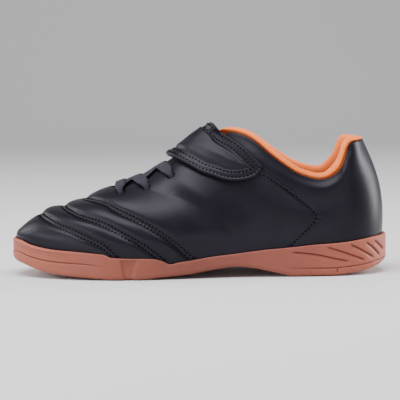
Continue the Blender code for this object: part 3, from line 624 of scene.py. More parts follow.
def mesh_object(name, points, faces, material, uv=None):
    """An object from points and lists of faces, turned outwards, riding on the shoe."""
    points, faces, uv = welded(np.asarray(points, float), faces, uv)
    mesh = bpy.data.meshes.new(name)
    mesh.from_pydata(points.tolist(), [], faces)
    work = bmesh.new()
    work.from_mesh(mesh)
    bmesh.ops.recalc_face_normals(work, faces=work.faces[:])
    if work.calc_volume(signed=True) < 0:
        bmesh.ops.reverse_faces(work, faces=work.faces[:])
    work.to_mesh(mesh)
    work.free()
    if uv is not None:
        layer = mesh.uv_layers.new(name="UVMap")
        corner = np.zeros(len(mesh.loops), np.int32)
        mesh.loops.foreach_get("vertex_index", corner)
        layer.data.foreach_set("uv", np.asarray(uv, np.float32)[corner].ravel())
    mesh.materials.append(material)
    mesh.shade_smooth()
    obj = bpy.data.objects.new(name, mesh)
    bpy.context.scene.collection.objects.link(obj)
    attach(obj, "root")
    return obj


def welded(points, faces, uv):
    """Points in the same place made one, and the faces that collapse left out."""
    _, first, number = np.unique(
        np.round(points / 1e-7).astype(np.int64), axis=0, return_index=True, return_inverse=True
    )
    number = number.reshape(-1)
    kept = []
    used = np.zeros(len(first), bool)
    for face in faces:
        ring = []
        for p in number[np.asarray(face)].tolist():
            if p not in ring:
                ring.append(p)
        if len(ring) > 2:
            kept.append(ring)
            used[ring] = True
    new = np.cumsum(used) - 1
    kept = [[int(new[p]) for p in ring] for ring in kept]
    return points[first][used], kept, None if uv is None else np.asarray(uv)[first][used]


def grid_faces(index):
    """Quads of a grid of point numbers."""
    a, b, c, d = index[:-1, :-1], index[1:, :-1], index[1:, 1:], index[:-1, 1:]
    return np.stack([a, b, c, d], -1).reshape(-1, 4).tolist()


def add_sides(grids, points, faces, ridge=None):
    """Adds the grids of both sides to a mesh, joined at heel and toe and over the ridge."""
    numbers = {}
    for side in SIDES:
        levels, count = grids[side].shape[:2]
        total = sum(len(part) for part in points)
        index = np.arange(total, total + levels * count).reshape(levels, count)
        points.append(grids[side].reshape(-1, 3))
        if side == INNER:
            index[:, 0] = numbers[OUTER][:, 0]
            index[:, -1] = numbers[OUTER][:, -1]
            if ridge is not None:
                index[-1, ridge] = numbers[OUTER][-1, ridge]
        numbers[side] = index
        faces += grid_faces(index)
    return numbers


class Line:
    """A line on the shoe with its directions, for seams and their stitches."""

    def __init__(self, points, directions):
        length = lengths(points)
        count = max(8, int(length[-1] / 0.0003))
        even = np.linspace(0, length[-1], count)
        self.length = length[-1]
        self.s = even
        self.p = np.stack([np.interp(even, length, points[:, k]) for k in range(3)], -1)
        self.n = unit(np.stack([np.interp(even, length, directions[:, k]) for k in range(3)], -1))
        self.t = unit(np.gradient(self.p, axis=0))
        self.across = unit(np.cross(self.n, self.t))

    def near(self, points, reach=0.008):
        """Signed distance across the line and distance along it, for each point."""
        points = points.reshape(-1, 3)
        distance = np.full(len(points), 1.0)
        along = np.zeros(len(points))
        low = self.p.min(axis=0) - reach
        high = self.p.max(axis=0) + reach
        inside = np.where(((points > low) & (points < high)).all(axis=1))[0]
        for part in np.array_split(inside, max(1, len(inside) // 4000)):
            if not len(part):
                continue
            gap = points[part][:, None] - self.p[None]
            nearest = (gap**2).sum(-1).argmin(1)
            arrow = points[part] - self.p[nearest]
            side = np.sign((arrow * self.across[nearest]).sum(-1))
            distance[part] = np.linalg.norm(arrow, axis=1) * side
            along[part] = self.s[nearest]
        return distance, along

    def offset(self, out):
        return Line(self.p + self.across * out, self.n)


def seam_line(k, side):
    """A seam between two toe pleats."""
    f = np.linspace(0, 1, LINE_POINTS)
    u = seam_station[k](f)
    v = rib_height(u, f, side)
    return Line(surface(u, v, side), normals(u, v, side))


def path_line(table, side):
    """A smooth line through stations and heights."""
    k = np.arange(len(table))
    fine = np.linspace(0, len(table) - 1, LINE_POINTS)
    u = angle(spline(k, column(table, 0), False)(fine))
    v = spline(k, column(table, 1), False)(fine)
    return Line(surface(u, v, side), normals(u, v, side))


seam_lines = {(k, side): seam_line(k, side) for k in range(3) for side in SIDES}
heel_lines = {side: path_line(HEEL_SEAM, side) for side in SIDES}


def stitched(distance, along, rows, depth, spread):
    """Relief of a stitched channel: a trough, and dimples and puckers along each row of stitches."""
    a = np.abs(distance)
    relief = -depth * (1 - smooth(rows + 0.0002, rows + spread, a))
    wave = np.cos(2 * math.pi * along / STITCH_PITCH)
    relief -= DIMPLE_DEPTH * bell(a - rows, DIMPLE_HALF) * (1 + wave)
    beside = bell(a - rows - PUCKER_OUT, PUCKER_HALF)
    relief += PUCKER_RISE * beside * -wave
    return relief


def relief_of(points, u, f, side):
    """Height of the leather over its plain surface: pleats, seams, holes, padded collar, folds."""
    shape = u.shape
    relief = swell_at(u, f).reshape(-1)
    for k in range(3):
        d, s = seam_lines[k, side].near(points)
        relief = relief + stitched(d, s, SEAM_HALF, SEAM_DEPTH, SEAM_SPREAD)
    d, s = heel_lines[side].near(points)
    relief = relief + stitched(d, s, 0.0, HEEL_SEAM_DEPTH, HEEL_SEAM_SPREAD)
    relief = relief.reshape(shape)
    station = share_at(u)
    collar = between((0.46, 0.84), (0.82, 1.0), f) * (1 - smooth(0.36, 0.44, station))
    relief = relief + COLLAR_PAD * collar * (0.1 + 0.9 * smooth(0.02, 0.10, station))
    for hole_station, v in HOLES:
        centre = surface(np.array([float(angle(hole_station))]), np.array([v]), side)[0]
        gap = np.linalg.norm(points.reshape(shape + (3,)) - centre, axis=-1)
        relief = relief - HOLE_DEPTH * (1 - smooth(HOLE_RADIUS * 0.70, HOLE_RADIUS * 1.25, gap))
    for fold in FOLDS:
        relief = relief + fold.at(points, side).reshape(shape)
    return relief


class Fold:
    """A soft trough or ridge along a line of stations and heights, that fades at its ends."""

    def __init__(self, table, half, rise):
        self.lines = {side: path_line(table, side) for side in SIDES}
        self.half = half
        self.rise = rise

    def at(self, points, side):
        line = self.lines[side]
        d, s = line.near(points, self.half * 3)
        ends = np.sin(math.pi * np.clip(s / line.length, 0, 1)) ** 0.7
        return self.rise * bell(d, self.half) * ends


FOLDS = [
    Fold(((0.600, 0.62), (0.560, 0.48), (0.520, 0.34), (0.480, 0.20)), 0.0050, -0.0006),
    Fold(((0.560, 0.64), (0.520, 0.48), (0.470, 0.34)), 0.0035, 0.0003),
    Fold(((0.440, 0.46), (0.400, 0.36), (0.350, 0.30)), 0.0060, -0.0004),
]


def rear_columns(count):
    """Columns behind the rear seam, as close together as REAR_STATIONS are."""
    base = angle(np.array(REAR_STATIONS))
    return np.interp(np.linspace(0, len(base) - 1, count), np.arange(len(base)), base)


def fine_stations():
    """Finer columns behind the rear seam, closest at the lace holes and the collar's rise."""
    fine = rear_columns(150)
    last = fine[-1:]
    turn = seam_station[0](TURN_ROW)
    extra = []
    probe = np.linspace(0.2, float(turn), 400)
    for station, v in HOLES:
        middle = float(angle(station))
        rows = np.linspace(0, 1, 200)
        f = float(np.interp(v, rib_height(np.full(200, middle), rows, OUTER), rows))
        extra += list(np.interp(middle + np.linspace(-0.009, 0.009, 15), warped(probe, f), probe))
    fine = np.concatenate([fine, extra])
    fine = np.unique(np.round(fine[fine < last], 5))
    return np.concatenate([fine, last])


def build_upper(material):
    """The leather shell: a fine relief outside and a plain inside, joined at foot and edge."""
    reference = fine_stations()
    # rows up each rib, and columns in each toe pleat
    parts = ((0, 0.55, 54), (0.56, 0.86, 48), (0.868, 1.0, 16))
    rows = np.concatenate([np.linspace(*part) for part in parts])
    steps = (46, 46, 44)
    count = len(reference) + sum(steps)
    outside = {}
    inside = {}
    for side in SIDES:
        u = np.zeros((len(rows), count))
        for r, f in enumerate(rows):
            values = list(warped(reference, f))
            edges = [float(seam(f)) for seam in seam_station] + [1.0]
            for k, many in enumerate(steps):
                span = edges[k + 1] - edges[k]
                values += [edges[k] + span * i / many for i in range(1, many + 1)]
            u[r] = values
        f = np.repeat(rows[:, None], count, 1)
        v = np.stack([rib_height(u[r], rows[r], side) for r in range(len(rows))])
        place = surface(u, v, side)
        normal = normals(u, v, side)
        normal[:, 0, 1] = 0
        normal[:, -1, 1] = 0
        closed = place[-1, :, 1] * side < 1e-6
        ridge = closed & (np.arange(count) > 0)
        place[-1, ridge, 1] = 0
        normal[-1, ridge, 1] = 0
        foot_normal = joined(plan(u[0], side)[1], np.zeros(count))
        normal[0] = foot_normal
        normal = unit(normal)
        lift = relief_of(place, u, f, side)
        edge = np.where(closed, 0.0, 1.0)
        # the cut edge of the leather turns in a little
        lift = lift - EDGE_TURN * edge[None, :] * smooth(0.985, 1.0, f)
        foot, _ = plan(u[0], side, -SOLE_LIP)
        low_out = joined(foot, floor_z(u[0]) + FIT)[None]
        low_in = joined(foot - foot_normal[:, :2] * WALL, floor_z(u[0]) + FIT)[None]
        outside[side] = np.concatenate([low_out, place + normal * lift[..., None]])
        coarse = np.unique(np.linspace(0, len(rows) - 1, 15).astype(int))
        inside[side] = np.concatenate([low_in, (place - normal * WALL)[coarse]])
    for grid in (outside, inside):
        middle = (grid[OUTER][-1] + grid[INNER][-1]) / 2
        for side in SIDES:
            grid[side][-1, ridge] = middle[ridge]
    points = []
    faces = []
    skins = [add_sides(grid, points, faces, ridge) for grid in (outside, inside)]
    for side in SIDES:
        for r in (0, -1):
            rim = np.stack([skin[side][r] for skin in skins])
            if r == -1:
                for c in range(count - 1):
                    if not (ridge[c] and ridge[c + 1]):
                        a, b = rim[:, c], rim[:, c + 1]
                        faces.append([int(a[0]), int(b[0]), int(b[1]), int(a[1])])
            else:
                faces += grid_faces(rim)
    return mesh_object("upper_leather", np.concatenate(points), faces, material)


# Materials


def material_of(name):
    material = bpy.data.materials.new(name)
    material.use_nodes = True
    tree = material.node_tree
    tree.nodes.clear()
    out = tree.nodes.new("ShaderNodeOutputMaterial")
    shader = tree.nodes.new("ShaderNodeBsdfPrincipled")
    tree.links.new(shader.outputs["BSDF"], out.inputs["Surface"])
    return material, tree, shader


def node(tree, kind, **values):
    made = tree.nodes.new(kind)
    for key, value in values.items():
        name = key.replace("_", " ")
        if name in made.inputs:
            made.inputs[name].default_value = value
        else:
            setattr(made, key, value)
    return made


def feed(tree, value, socket):
    """Links a socket to another one, or sets it to a plain value."""
    if isinstance(value, bpy.types.NodeSocket):
        tree.links.new(value, socket)
    else:
        socket.default_value = value


def settings(tree, shader, **values):
    """Feeds sockets of the shader: the name of each with its spaces as underscores."""
    for key, value in values.items():
        feed(tree, value, shader.inputs[key.replace("_", " ")])


def multiplied(tree, first, second, share):
    """One colour multiplied by a second, by the share."""
    made = node(tree, "ShaderNodeMix", data_type="RGBA", blend_type="MULTIPLY")
    feed(tree, share, made.inputs["Factor"])
    feed(tree, first, made.inputs[6])
    feed(tree, second, made.inputs[7])
    return made.outputs[2]


def coordinates(tree, what="Object"):
    return tree.nodes.new("ShaderNodeTexCoord").outputs[what]


def noise(tree, scale, detail=3.0, rough=0.5, what="Object"):
    made = node(tree, "ShaderNodeTexNoise", Scale=scale, Detail=detail, Roughness=rough)
    tree.links.new(coordinates(tree, what), made.inputs["Vector"])
    return made.outputs["Fac"]


def cells(tree, scale, what="Object", random=1.0):
    made = node(tree, "ShaderNodeTexVoronoi", Scale=scale, Randomness=random)
    tree.links.new(coordinates(tree, what), made.inputs["Vector"])
    return made.outputs["Distance"]


def ramp(tree, value, stops):
    """A colour ramp: stops are (position, (r, g, b))."""
    made = tree.nodes.new("ShaderNodeValToRGB")
    while len(made.color_ramp.elements) < len(stops):
        made.color_ramp.elements.new(0.5)
    for element, (position, colour) in zip(made.color_ramp.elements, stops):
        element.position = position
        element.color = (*colour, 1.0)
    tree.links.new(value, made.inputs["Fac"])
    return made.outputs["Color"]


def spread(tree, value, low, high, first=0.0, last=1.0):
    made = node(tree, "ShaderNodeMapRange", From_Min=first, From_Max=last, To_Min=low, To_Max=high)
    tree.links.new(value, made.inputs["Value"])
    return made.outputs["Result"]


def bumped(tree, shader, layers):
    """Chains bumps: (height, strength, distance)."""
    last = None
    for height, strength, distance in layers:
        made = node(tree, "ShaderNodeBump", Strength=strength, Distance=distance)
        tree.links.new(height, made.inputs["Height"])
        if last is not None:
            tree.links.new(last, made.inputs["Normal"])
        last = made.outputs["Normal"]
    tree.links.new(last, shader.inputs["Normal"])


def leather(name, dark, light, rough, grain=1.0):
    material, tree, shader = material_of(name)
    tone = ramp(tree, noise(tree, 55, 4.0), ((0.30, dark), (0.72, light)))
    rough = spread(tree, noise(tree, 90, 5.0, 0.6), rough - 0.05, rough + 0.07)
    settings(tree, shader, Base_Color=tone, Roughness=rough)
    settings(tree, shader, Specular_IOR_Level=0.21, Specular_Tint=(0.90, 0.86, 1.0, 1.0))
    creases = (noise(tree, 260, 2.0), 0.16 * grain, 0.0004)
    pores = (cells(tree, 1500), 0.16 * grain, 0.00016)
    nap = (noise(tree, 3200, 2.0), 0.10 * grain, 0.00008)
    bumped(tree, shader, (creases, pores, nap))
    return material


def gum(name):
    material, tree, shader = material_of(name)
    tone = ramp(
        tree,
        noise(tree, 38, 5.0, 0.6),
        ((0.25, (0.360, 0.108, 0.072)), (0.55, (0.410, 0.128, 0.086)), (0.85, (0.455, 0.150, 0.104))),
    )
    speck = ramp(tree, noise(tree, 900, 2.0), ((0.28, (0.86, 0.84, 0.82)), (0.45, (1.0, 1.0, 1.0))))
    tone = multiplied(tree, tone, speck, 0.6)
    # painted shade: the gum is darker, and a little browner, between the toe and the heel, where less
    # light reaches the arch
    place = tree.nodes.new("ShaderNodeSeparateXYZ")
    tree.links.new(coordinates(tree), place.inputs["Vector"])
    painted_arch_shade = ramp(
        tree,
        spread(tree, place.outputs["X"], 0.0, 1.0, -0.110, 0.110),
        (
            (0.05, (0.82, 0.77, 0.74)),
            (0.30, (0.62, 0.59, 0.59)),
            (0.52, (0.50, 0.48, 0.50)),
            (0.78, (0.64, 0.58, 0.60)),
            (0.98, (1.00, 0.93, 0.88)),
        ),
    )
    tone = multiplied(tree, tone, painted_arch_shade, 1.0)
    # painted shade: the mesh's first UV value marks the creases, and the gum is darkened there as if
    # shade fell in them
    split = tree.nodes.new("ShaderNodeSeparateXYZ")
    tree.links.new(coordinates(tree, "UV"), split.inputs["Vector"])
    groove_and_painted_shade = spread(tree, split.outputs["X"], 0.0, 1.0, 0.15, 0.8)
    tone = multiplied(tree, tone, (0.42, 0.30, 0.28, 1.0), groove_and_painted_shade)
    rough = spread(tree, noise(tree, 120, 4.0), 0.42, 0.58)
    settings(tree, shader, Base_Color=tone, Roughness=rough, Specular_IOR_Level=0.22)
    settings(tree, shader, Subsurface_Weight=0.06, Subsurface_Radius=(0.003, 0.001, 0.0006))
    grain = (noise(tree, 300, 3.0), 0.12, 0.0003)
    pores = (noise(tree, 2600, 2.0), 0.12, 0.0001)
    bumped(tree, shader, (grain, pores))
    return material


def mesh_cloth(name):
    """Knitted spacer mesh: rows of small round holes in a napped orange cloth."""
    material, tree, shader = material_of(name)
    holes = cells(tree, 1.0, "UV", random=0.22)
    tone = ramp(
        tree,
        holes,
        ((0.10, (0.62, 0.090, 0.022)), (0.28, (0.98, 0.205, 0.046)), (0.70, (1.00, 0.270, 0.075))),
    )
    settings(tree, shader, Base_Color=tone, Roughness=0.82, Specular_IOR_Level=0.10)
    settings(tree, shader, Sheen_Weight=0.35, Sheen_Roughness=0.5, Sheen_Tint=(1.0, 0.36, 0.14, 1.0))
    bumped(tree, shader, ((holes, 0.55, 0.0006), (noise(tree, 2400, 3.0), 0.25, 0.0002)))
    return material


def woven(name, dark, light, scale):
    """Flat woven tape or cloth, by rows of its own length and width."""
    material, tree, shader = material_of(name)
    place = coordinates(tree, "UV")
    waves = []
    for direction in ("X", "Y"):
        wave = node(tree, "ShaderNodeTexWave", Scale=scale, Distortion=0.6)
        wave.bands_direction = direction
        wave.inputs["Detail"].default_value = 1.0
        tree.links.new(place, wave.inputs["Vector"])
        waves.append(wave.outputs["Fac"])
    mix = node(tree, "ShaderNodeMix", data_type="FLOAT")
    mix.inputs["Factor"].default_value = 0.5
    tree.links.new(waves[0], mix.inputs[2])
    tree.links.new(waves[1], mix.inputs[3])
    tone = ramp(tree, mix.outputs[0], ((0.2, dark), (0.85, light)))
    settings(tree, shader, Base_Color=tone, Roughness=0.8, Specular_IOR_Level=0.12)
    settings(tree, shader, Sheen_Weight=0.06, Sheen_Roughness=0.4, Sheen_Tint=(0.5, 0.5, 0.55, 1.0))
    bumped(tree, shader, ((mix.outputs[0], 0.6, 0.0004), (noise(tree, 3000, 2.0), 0.2, 0.0001)))
    return material


def thread(name, colour):
    material, tree, shader = material_of(name)
    tone = ramp(tree, noise(tree, 2500, 2.0), ((0.3, tuple(c * 0.7 for c in colour)), (0.7, colour)))
    settings(tree, shader, Base_Color=tone, Roughness=0.9, Specular_IOR_Level=0.08)
    bumped(tree, shader, ((noise(tree, 5000, 1.0), 0.3, 0.0001),))
    return material


black_leather = leather("upper_black", (0.0042, 0.0036, 0.0068), (0.0070, 0.0062, 0.0105), 0.37)
strap_leather = leather("strap_black", (0.0044, 0.0038, 0.0070), (0.0078, 0.0070, 0.0112), 0.39, 1.2)
gum_rubber = gum("gum_sole")
orange_cloth = mesh_cloth("orange_spacer_mesh")
lace_black = woven("lace_weave", (0.004, 0.004, 0.006), (0.062, 0.056, 0.077), 0.13)
tongue_cloth = woven("tongue_weave", (0.010, 0.009, 0.013), (0.022, 0.020, 0.027), 0.39)
insole_cloth = woven("insole_weave", (0.018, 0.017, 0.021), (0.040, 0.038, 0.044), 0.39)
black_thread = thread("black_thread", (0.0022, 0.0020, 0.0034))

upper = build_upper(black_leather)
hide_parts("upper")


# Stitches


def tree_of(obj):
    return BVHTree.FromObject(obj, bpy.context.evaluated_depsgraph_get())


def stitches(name, lines, skin, material):
    """Short threads along lines, laid on the skin under them."""
    points = []
    faces = []
    ring = np.arange(6) * math.pi / 3
    profile = ((-0.50, 0.25), (-0.42, 0.75), (-0.20, 1.0), (0.20, 1.0), (0.42, 0.75), (0.50, 0.25))
    for line in lines:
        for k in range(int(line.length / STITCH_PITCH)):
            s = (k + 0.5) * STITCH_PITCH
            at = min(int(s / line.length * (len(line.s) - 1)), len(line.s) - 1)
            p, n, t = line.p[at], line.n[at], line.t[at]
            found = skin.ray_cast(Vector(p + n * SKIN_REACH), Vector(-n), 2 * SKIN_REACH)[0]
            if found is None:
                continue
            centre = np.array(found)
            side = unit(np.cross(n, t))
            start = len(points)
            for along, wide in profile:
                arch = -STITCH_ARCH * (abs(along) * 2) ** 3
                middle = centre + t * along * STITCH_LENGTH + n * (arch + STITCH_RADIUS * 0.15)
                for a in ring:
                    out = side * math.cos(a) * 1.15 + n * math.sin(a) * 0.85
                    points.append(middle + STITCH_RADIUS * wide * out)
            for i in range(len(profile) - 1):
                for j in range(6):
                    m = (j + 1) % 6
                    a = start + i * 6
                    faces.append((a + j, a + m, a + 6 + m, a + 6 + j))
            faces.append(tuple(start + j for j in reversed(range(6))))
            faces.append(tuple(start + (len(profile) - 1) * 6 + j for j in range(6)))
    return mesh_object(name, points, faces, material)


rows = []
for side in SIDES:
    for k in range(3):
        for way in (-1, 1):
            rows.append(seam_lines[k, side].offset(way * SEAM_HALF))
    rows.append(heel_lines[side])
stitches("upper_stitches", rows, tree_of(upper), black_thread)


# Sole


def notch_edge(station):
    return station - NOTCH_EDGE, station + NOTCH_EDGE


def build_sole(material):
    """The gum sole: its sides with their lines, fins and notch, its floor and its tread."""
    heel_end = float(angle(0.30))
    u = np.concatenate([np.linspace(0, heel_end, 190), np.linspace(heel_end, 1, 261)[1:]])
    count = len(u)
    low = under_z(u)
    high = lip_z(u)
    tall = high - low
    station = share_at(u)
    wall = SOLE_GAP - SOLE_LIP
    foot_rows = np.linspace(0, math.pi / 2, 6)
    grids = {}
    shades = {}
    for side in SIDES:
        rows = [(np.full(count, wall), floor_z(u)), (np.full(count, wall), high - INNER_ROUND)]
        for a in np.linspace(0, math.pi / 2, 4):
            out = wall + LIP_FLARE * (1 - math.cos(a)) + np.zeros(count)
            rows.append((out, high - INNER_ROUND + INNER_ROUND * math.sin(a)))
        lip = LIP_ROUND * rounding(u)
        foot = FOOT_ROUND * rounding(u)
        for a in np.linspace(0, math.pi / 2, 6)[:-1]:
            rows.append((-lip + lip * math.sin(a), high - lip + lip * math.cos(a)))
        top = high - lip
        base = low + foot
        # shade holds painted shade for each row: how dark the gum is painted in its line grooves, fine
        # lines, fins and slit
        shade = [np.zeros(count)] * len(rows)
        for k in np.linspace(0, 1, 52):
            z = top + (base - top) * k
            w = (z - low) / tall
            out = np.zeros(count)
            # rim band round the toe, standing proud over a thin line
            line = line_height(u)
            deep = line_depth(u)
            gap = (w - line) * tall
            front = 1 - 0.6 * smooth(0.97, 1.0, station)
            groove_and_painted_shade = deep * bell(gap, LINE_HALF)
            out -= LINE_GROOVE * groove_and_painted_shade * front
            below = smooth(0.0, 0.0012, -gap)
            out += LINE_STEP * deep * below
            # bead and fine lines under the rim of the toe
            toe = smooth(0.80, 0.90, station)
            down = (1 - w) * tall
            out += BEAD_RISE * toe * bell(down - BEAD_DOWN, BEAD_HALF)
            for line_at in FINE_LINES:
                fine = toe * bell(down - line_at, FINE_LINE_HALF)
                out -= FINE_LINE_DEPTH * fine
                groove_and_painted_shade = groove_and_painted_shade + 0.45 * fine
            # fins on the heel
            for s0, t0, s1, t1 in FINS:
                along = np.clip((station - s1) / (s0 - s1), -0.2, 1.2)
                bow = 0.035 * np.sin(math.pi * np.clip(along, 0, 1))
                centre = t1 + (t0 - t1) * along + bow
                away = (w - centre) * tall
                run = (s0 - s1) * SHOE_LENGTH
                slope = (t0 - t1) * tall / run
                away = away / np.sqrt(1 + slope**2)
                ends = between((-0.02, 0.06), (0.90, 1.02), along)
                out -= FIN_DEPTH * ends * bell(away, np.where(away > 0, *FIN_EDGES))
                groove_and_painted_shade = groove_and_painted_shade + ends * bell(away + 0.0001, FIN_SHADE)
            # flex notch
            front = NOTCH[1] + (NOTCH[3] - NOTCH[1]) * (1 - w)
            rear = NOTCH[0] + (NOTCH[2] - NOTCH[0]) * (1 - w)
            inside = between(notch_edge(rear), notch_edge(front), station)
            inside = inside * (1 - smooth(0.90, 1.0, w))
            out -= NOTCH_DEPTH * inside
            # small slit under the heel's line
            slit = bell((station - SLIT_STATION) * SHOE_LENGTH, SLIT_HALF)
            slit = slit * (w < 0.21) * (w > 0.02)
            out -= SLIT_DEPTH * slit
            rows.append((out, z))
            shade.append(np.clip(groove_and_painted_shade + slit, 0, 1))
        for a in foot_rows[1:]:
            cut = NOTCH_DEPTH * smooth(*notch_edge(NOTCH[2]), station)
            cut = cut * (1 - smooth(*notch_edge(NOTCH[3]), station))
            band = FOOT_BAND * line_depth(u) * (1 - a / foot_rows[-1])
            rows.append((band - cut - foot * (1 - math.cos(a)), low + foot * (1 - math.sin(a))))
            shade.append(np.zeros(count))
        shades[side] = np.stack(shade)
        grids[side] = np.stack([joined(plan(u, side, out)[0], z) for out, z in rows])
    across = np.linspace(0, 1, 50)
    under = np.zeros((len(across), count, 3))
    first, last = grids[OUTER][-1], grids[INNER][-1]
    for k, t in enumerate(across):
        p = first + (last - first) * t
        rim = np.minimum(np.linalg.norm(p - first, axis=1), np.linalg.norm(p - last, axis=1))
        inner = smooth(TREAD_RIM - 0.003, TREAD_RIM - 0.002, rim)
        zigzag = np.abs(((p[:, 1] / TREAD_ZIGZAG[0]) % 1) - 0.5) * TREAD_ZIGZAG[1]
        wave = ((p[:, 0] + zigzag) / TREAD_PITCH) % 1
        bar = between((0.18, 0.28), (0.72, 0.82), wave)
        on_floor = between((0.10, 0.14), (0.90, 0.94), station)
        arch = between((0.27, 0.30), (0.55, 0.58), station)
        p[:, 2] += TREAD_DEPTH * 0.8 * inner * (1 - bar) * on_floor * (1 - arch)
        p[:, 2] += ARCH_HOLLOW * inner * arch
        under[k] = p
    points = []
    faces = []
    numbers = add_sides(grids, points, faces)
    # the painted shade of the creases goes to the gum material in the UV
    painted_shade_rows = [shades[side].reshape(-1) for side in SIDES] + [np.zeros(len(across) * count)]
    total = sum(len(part) for part in points)
    index = np.arange(total, total + len(across) * count).reshape(len(across), count)
    points.append(under.reshape(-1, 3))
    index[0] = numbers[OUTER][-1]
    index[-1] = numbers[INNER][-1]
    index[:, 0] = numbers[OUTER][-1, 0]
    index[:, -1] = numbers[OUTER][-1, -1]
    faces += grid_faces(index)
    faces += grid_faces(np.stack([numbers[OUTER][0], numbers[INNER][0]]))
    painted_shade_uv = np.concatenate(painted_shade_rows)
    uv = np.stack([painted_shade_uv, painted_shade_uv], -1)
    return mesh_object("gum_sole", np.concatenate(points), faces, material, uv=uv)


sole = build_sole(gum_rubber)
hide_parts("outsole")


# Closed strips through rings of points


def loft_object(name, rings, material, pitch=0.001):
    """A skin through rings of points, with lengths along and round as its UV in the given pitch."""
    rings = np.asarray(rings)
    many, n = rings.shape[:2]
    index = np.arange(many * n).reshape(many, n)
    closed = np.concatenate([index, index[:, :1]], 1)
    faces = grid_faces(closed)
    faces.append([int(i) for i in index[0]])
    faces.append([int(i) for i in index[-1][::-1]])
    along = lengths(rings.mean(1))
    round_step = np.linalg.norm(np.diff(rings, axis=1), axis=2).mean(0)
    around = np.concatenate([[0], np.cumsum(round_step)])
    uv = np.stack([np.repeat(along, n), np.tile(around, many)], -1) / pitch
    return mesh_object(name, rings.reshape(-1, 3), faces, material, uv=uv)


def closed_curve(ring, count):
    """A smooth closed curve through the ring's points."""
    ring = np.asarray(ring)
    n = len(ring)
    wide = np.concatenate([ring[-3:], ring, ring[:3]])
    step = np.linalg.norm(np.diff(wide, axis=0), axis=1) ** 0.5
    knots = np.concatenate([[0], np.cumsum(np.maximum(step, 1e-5))])
    start, end = knots[3], knots[3 + n]
    t = start + (end - start) * np.arange(count) / count
    return through(knots, wide, t)


def build_lining(material):
    """The padded collar: one ring across it at each place round the opening."""
    thin = curve_of(LINING_THIN)
    size = curve_of(ROLL_SIZE)
    end = float(angle(LINING_END))
    shift = warped(rear_columns(230), 1.0)
    turns = [float(u) for u in shift if u < end] + [end]
    places = [(u, OUTER) for u in reversed(turns)] + [(u, INNER) for u in turns[1:]]
    skin_depth = WALL + LINING_GAP
    rings = []
    for u, side in places:
        station = float(share_at(u))
        one = np.array([u])

        def frame_at(v, one=one, side=side):
            place = surface(one, np.array([v]), side)[0]
            normal = normals(one, np.array([v]), side)[0]
            if one[0] <= 0:
                place[1] = normal[1] = 0
            return place, unit(normal)

        ring = []
        for v in LINING_OUTER:
            place, normal = frame_at(v)
            ring.append(place - normal * skin_depth)
        top, normal = frame_at(1.0)
        around = np.clip([u - EDGE_STEP, u + EDGE_STEP], 0, 1)
        tangent = np.diff(surface(around, np.ones(2), side), axis=0)[0]
        if u <= 0:
            tangent = np.array([0.0, float(side), 0.0])
        up = unit(-side * np.cross(tangent, normal))
        full = float(thin(station))
        grow = float(size(station))
        for rise, inward in ROLL:
            inward = inward if inward <= skin_depth else skin_depth + (inward - skin_depth) * full
            ring.append(top + up * ROLL_RISE * rise * grow - normal * inward)
        for v, share in LINING_INNER:
            place, normal = frame_at(v)
            deep = skin_depth + LINING_PAD * share * full + LINING_EDGE * (1 - share)
            ring.append(place - normal * deep)
        rings.append(closed_curve(ring, 44))
    return loft_object("collar_mesh", rings, material, pitch=0.0011)


lining = build_lining(orange_cloth)
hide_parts("collar_lining")


def instep_frames(station, across):
    """Points of the whole arch over the instep, closed over the throat, and their directions."""
    place = np.zeros((len(across), 3))
    normal = np.zeros((len(across), 3))
    edge = BALL_WIDTH * max(float(top_width(angle(station))), 0)
    for side in SIDES:
        here = (across < 0) == (side == OUTER)
        u = np.full(here.sum(), float(angle(station)))
        v = height_at_width(u, np.maximum(np.abs(across[here]), edge), side)
        place[here] = surface(u, v, side)
        normal[here] = normals(u, v, side)
    normal[:, 1] *= np.clip(np.abs(across) / max(edge, 1e-6), 0, 1)
    place[:, 1] = across
    return place, unit(normal)


def build_tongue(material):
    """The tongue: a thin pad under the throat, crowned to show between the laces."""
    wide = curve_of(TONGUE)
    rings = []
    across_share = np.sin(np.linspace(-math.pi / 2, math.pi / 2, 29))
    for station in np.linspace(TONGUE[0][0], TONGUE[-1][0], 70):
        place, normal = instep_frames(station, across_share * float(wide(station)))
        skin_depth = WALL + TONGUE_GAP
        edge = 1 - TONGUE_THINNING * np.abs(across_share) ** 4
        hem = 0.25 * bell(np.abs(across_share) - 0.80, 0.04)
        top = place - normal * (skin_depth + TONGUE_THICKNESS * (1 - edge + hem) / 2)[:, None]
        low = place - normal * (skin_depth + TONGUE_THICKNESS * (1 + edge) / 2)[:, None]
        half = float(throat_half(station))
        bulge = np.clip(1 - (place[:, 1] / half) ** 2, 0, 1) ** 2
        crown = TONGUE_CROWN * half / THROAT_HALF_WIDTH * bulge
        rings.append(np.concatenate([top + normal * crown[:, None], low[::-1]]))
    return loft_object("tongue_padding", rings, material)


tongue = build_tongue(tongue_cloth)
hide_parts("tongue")


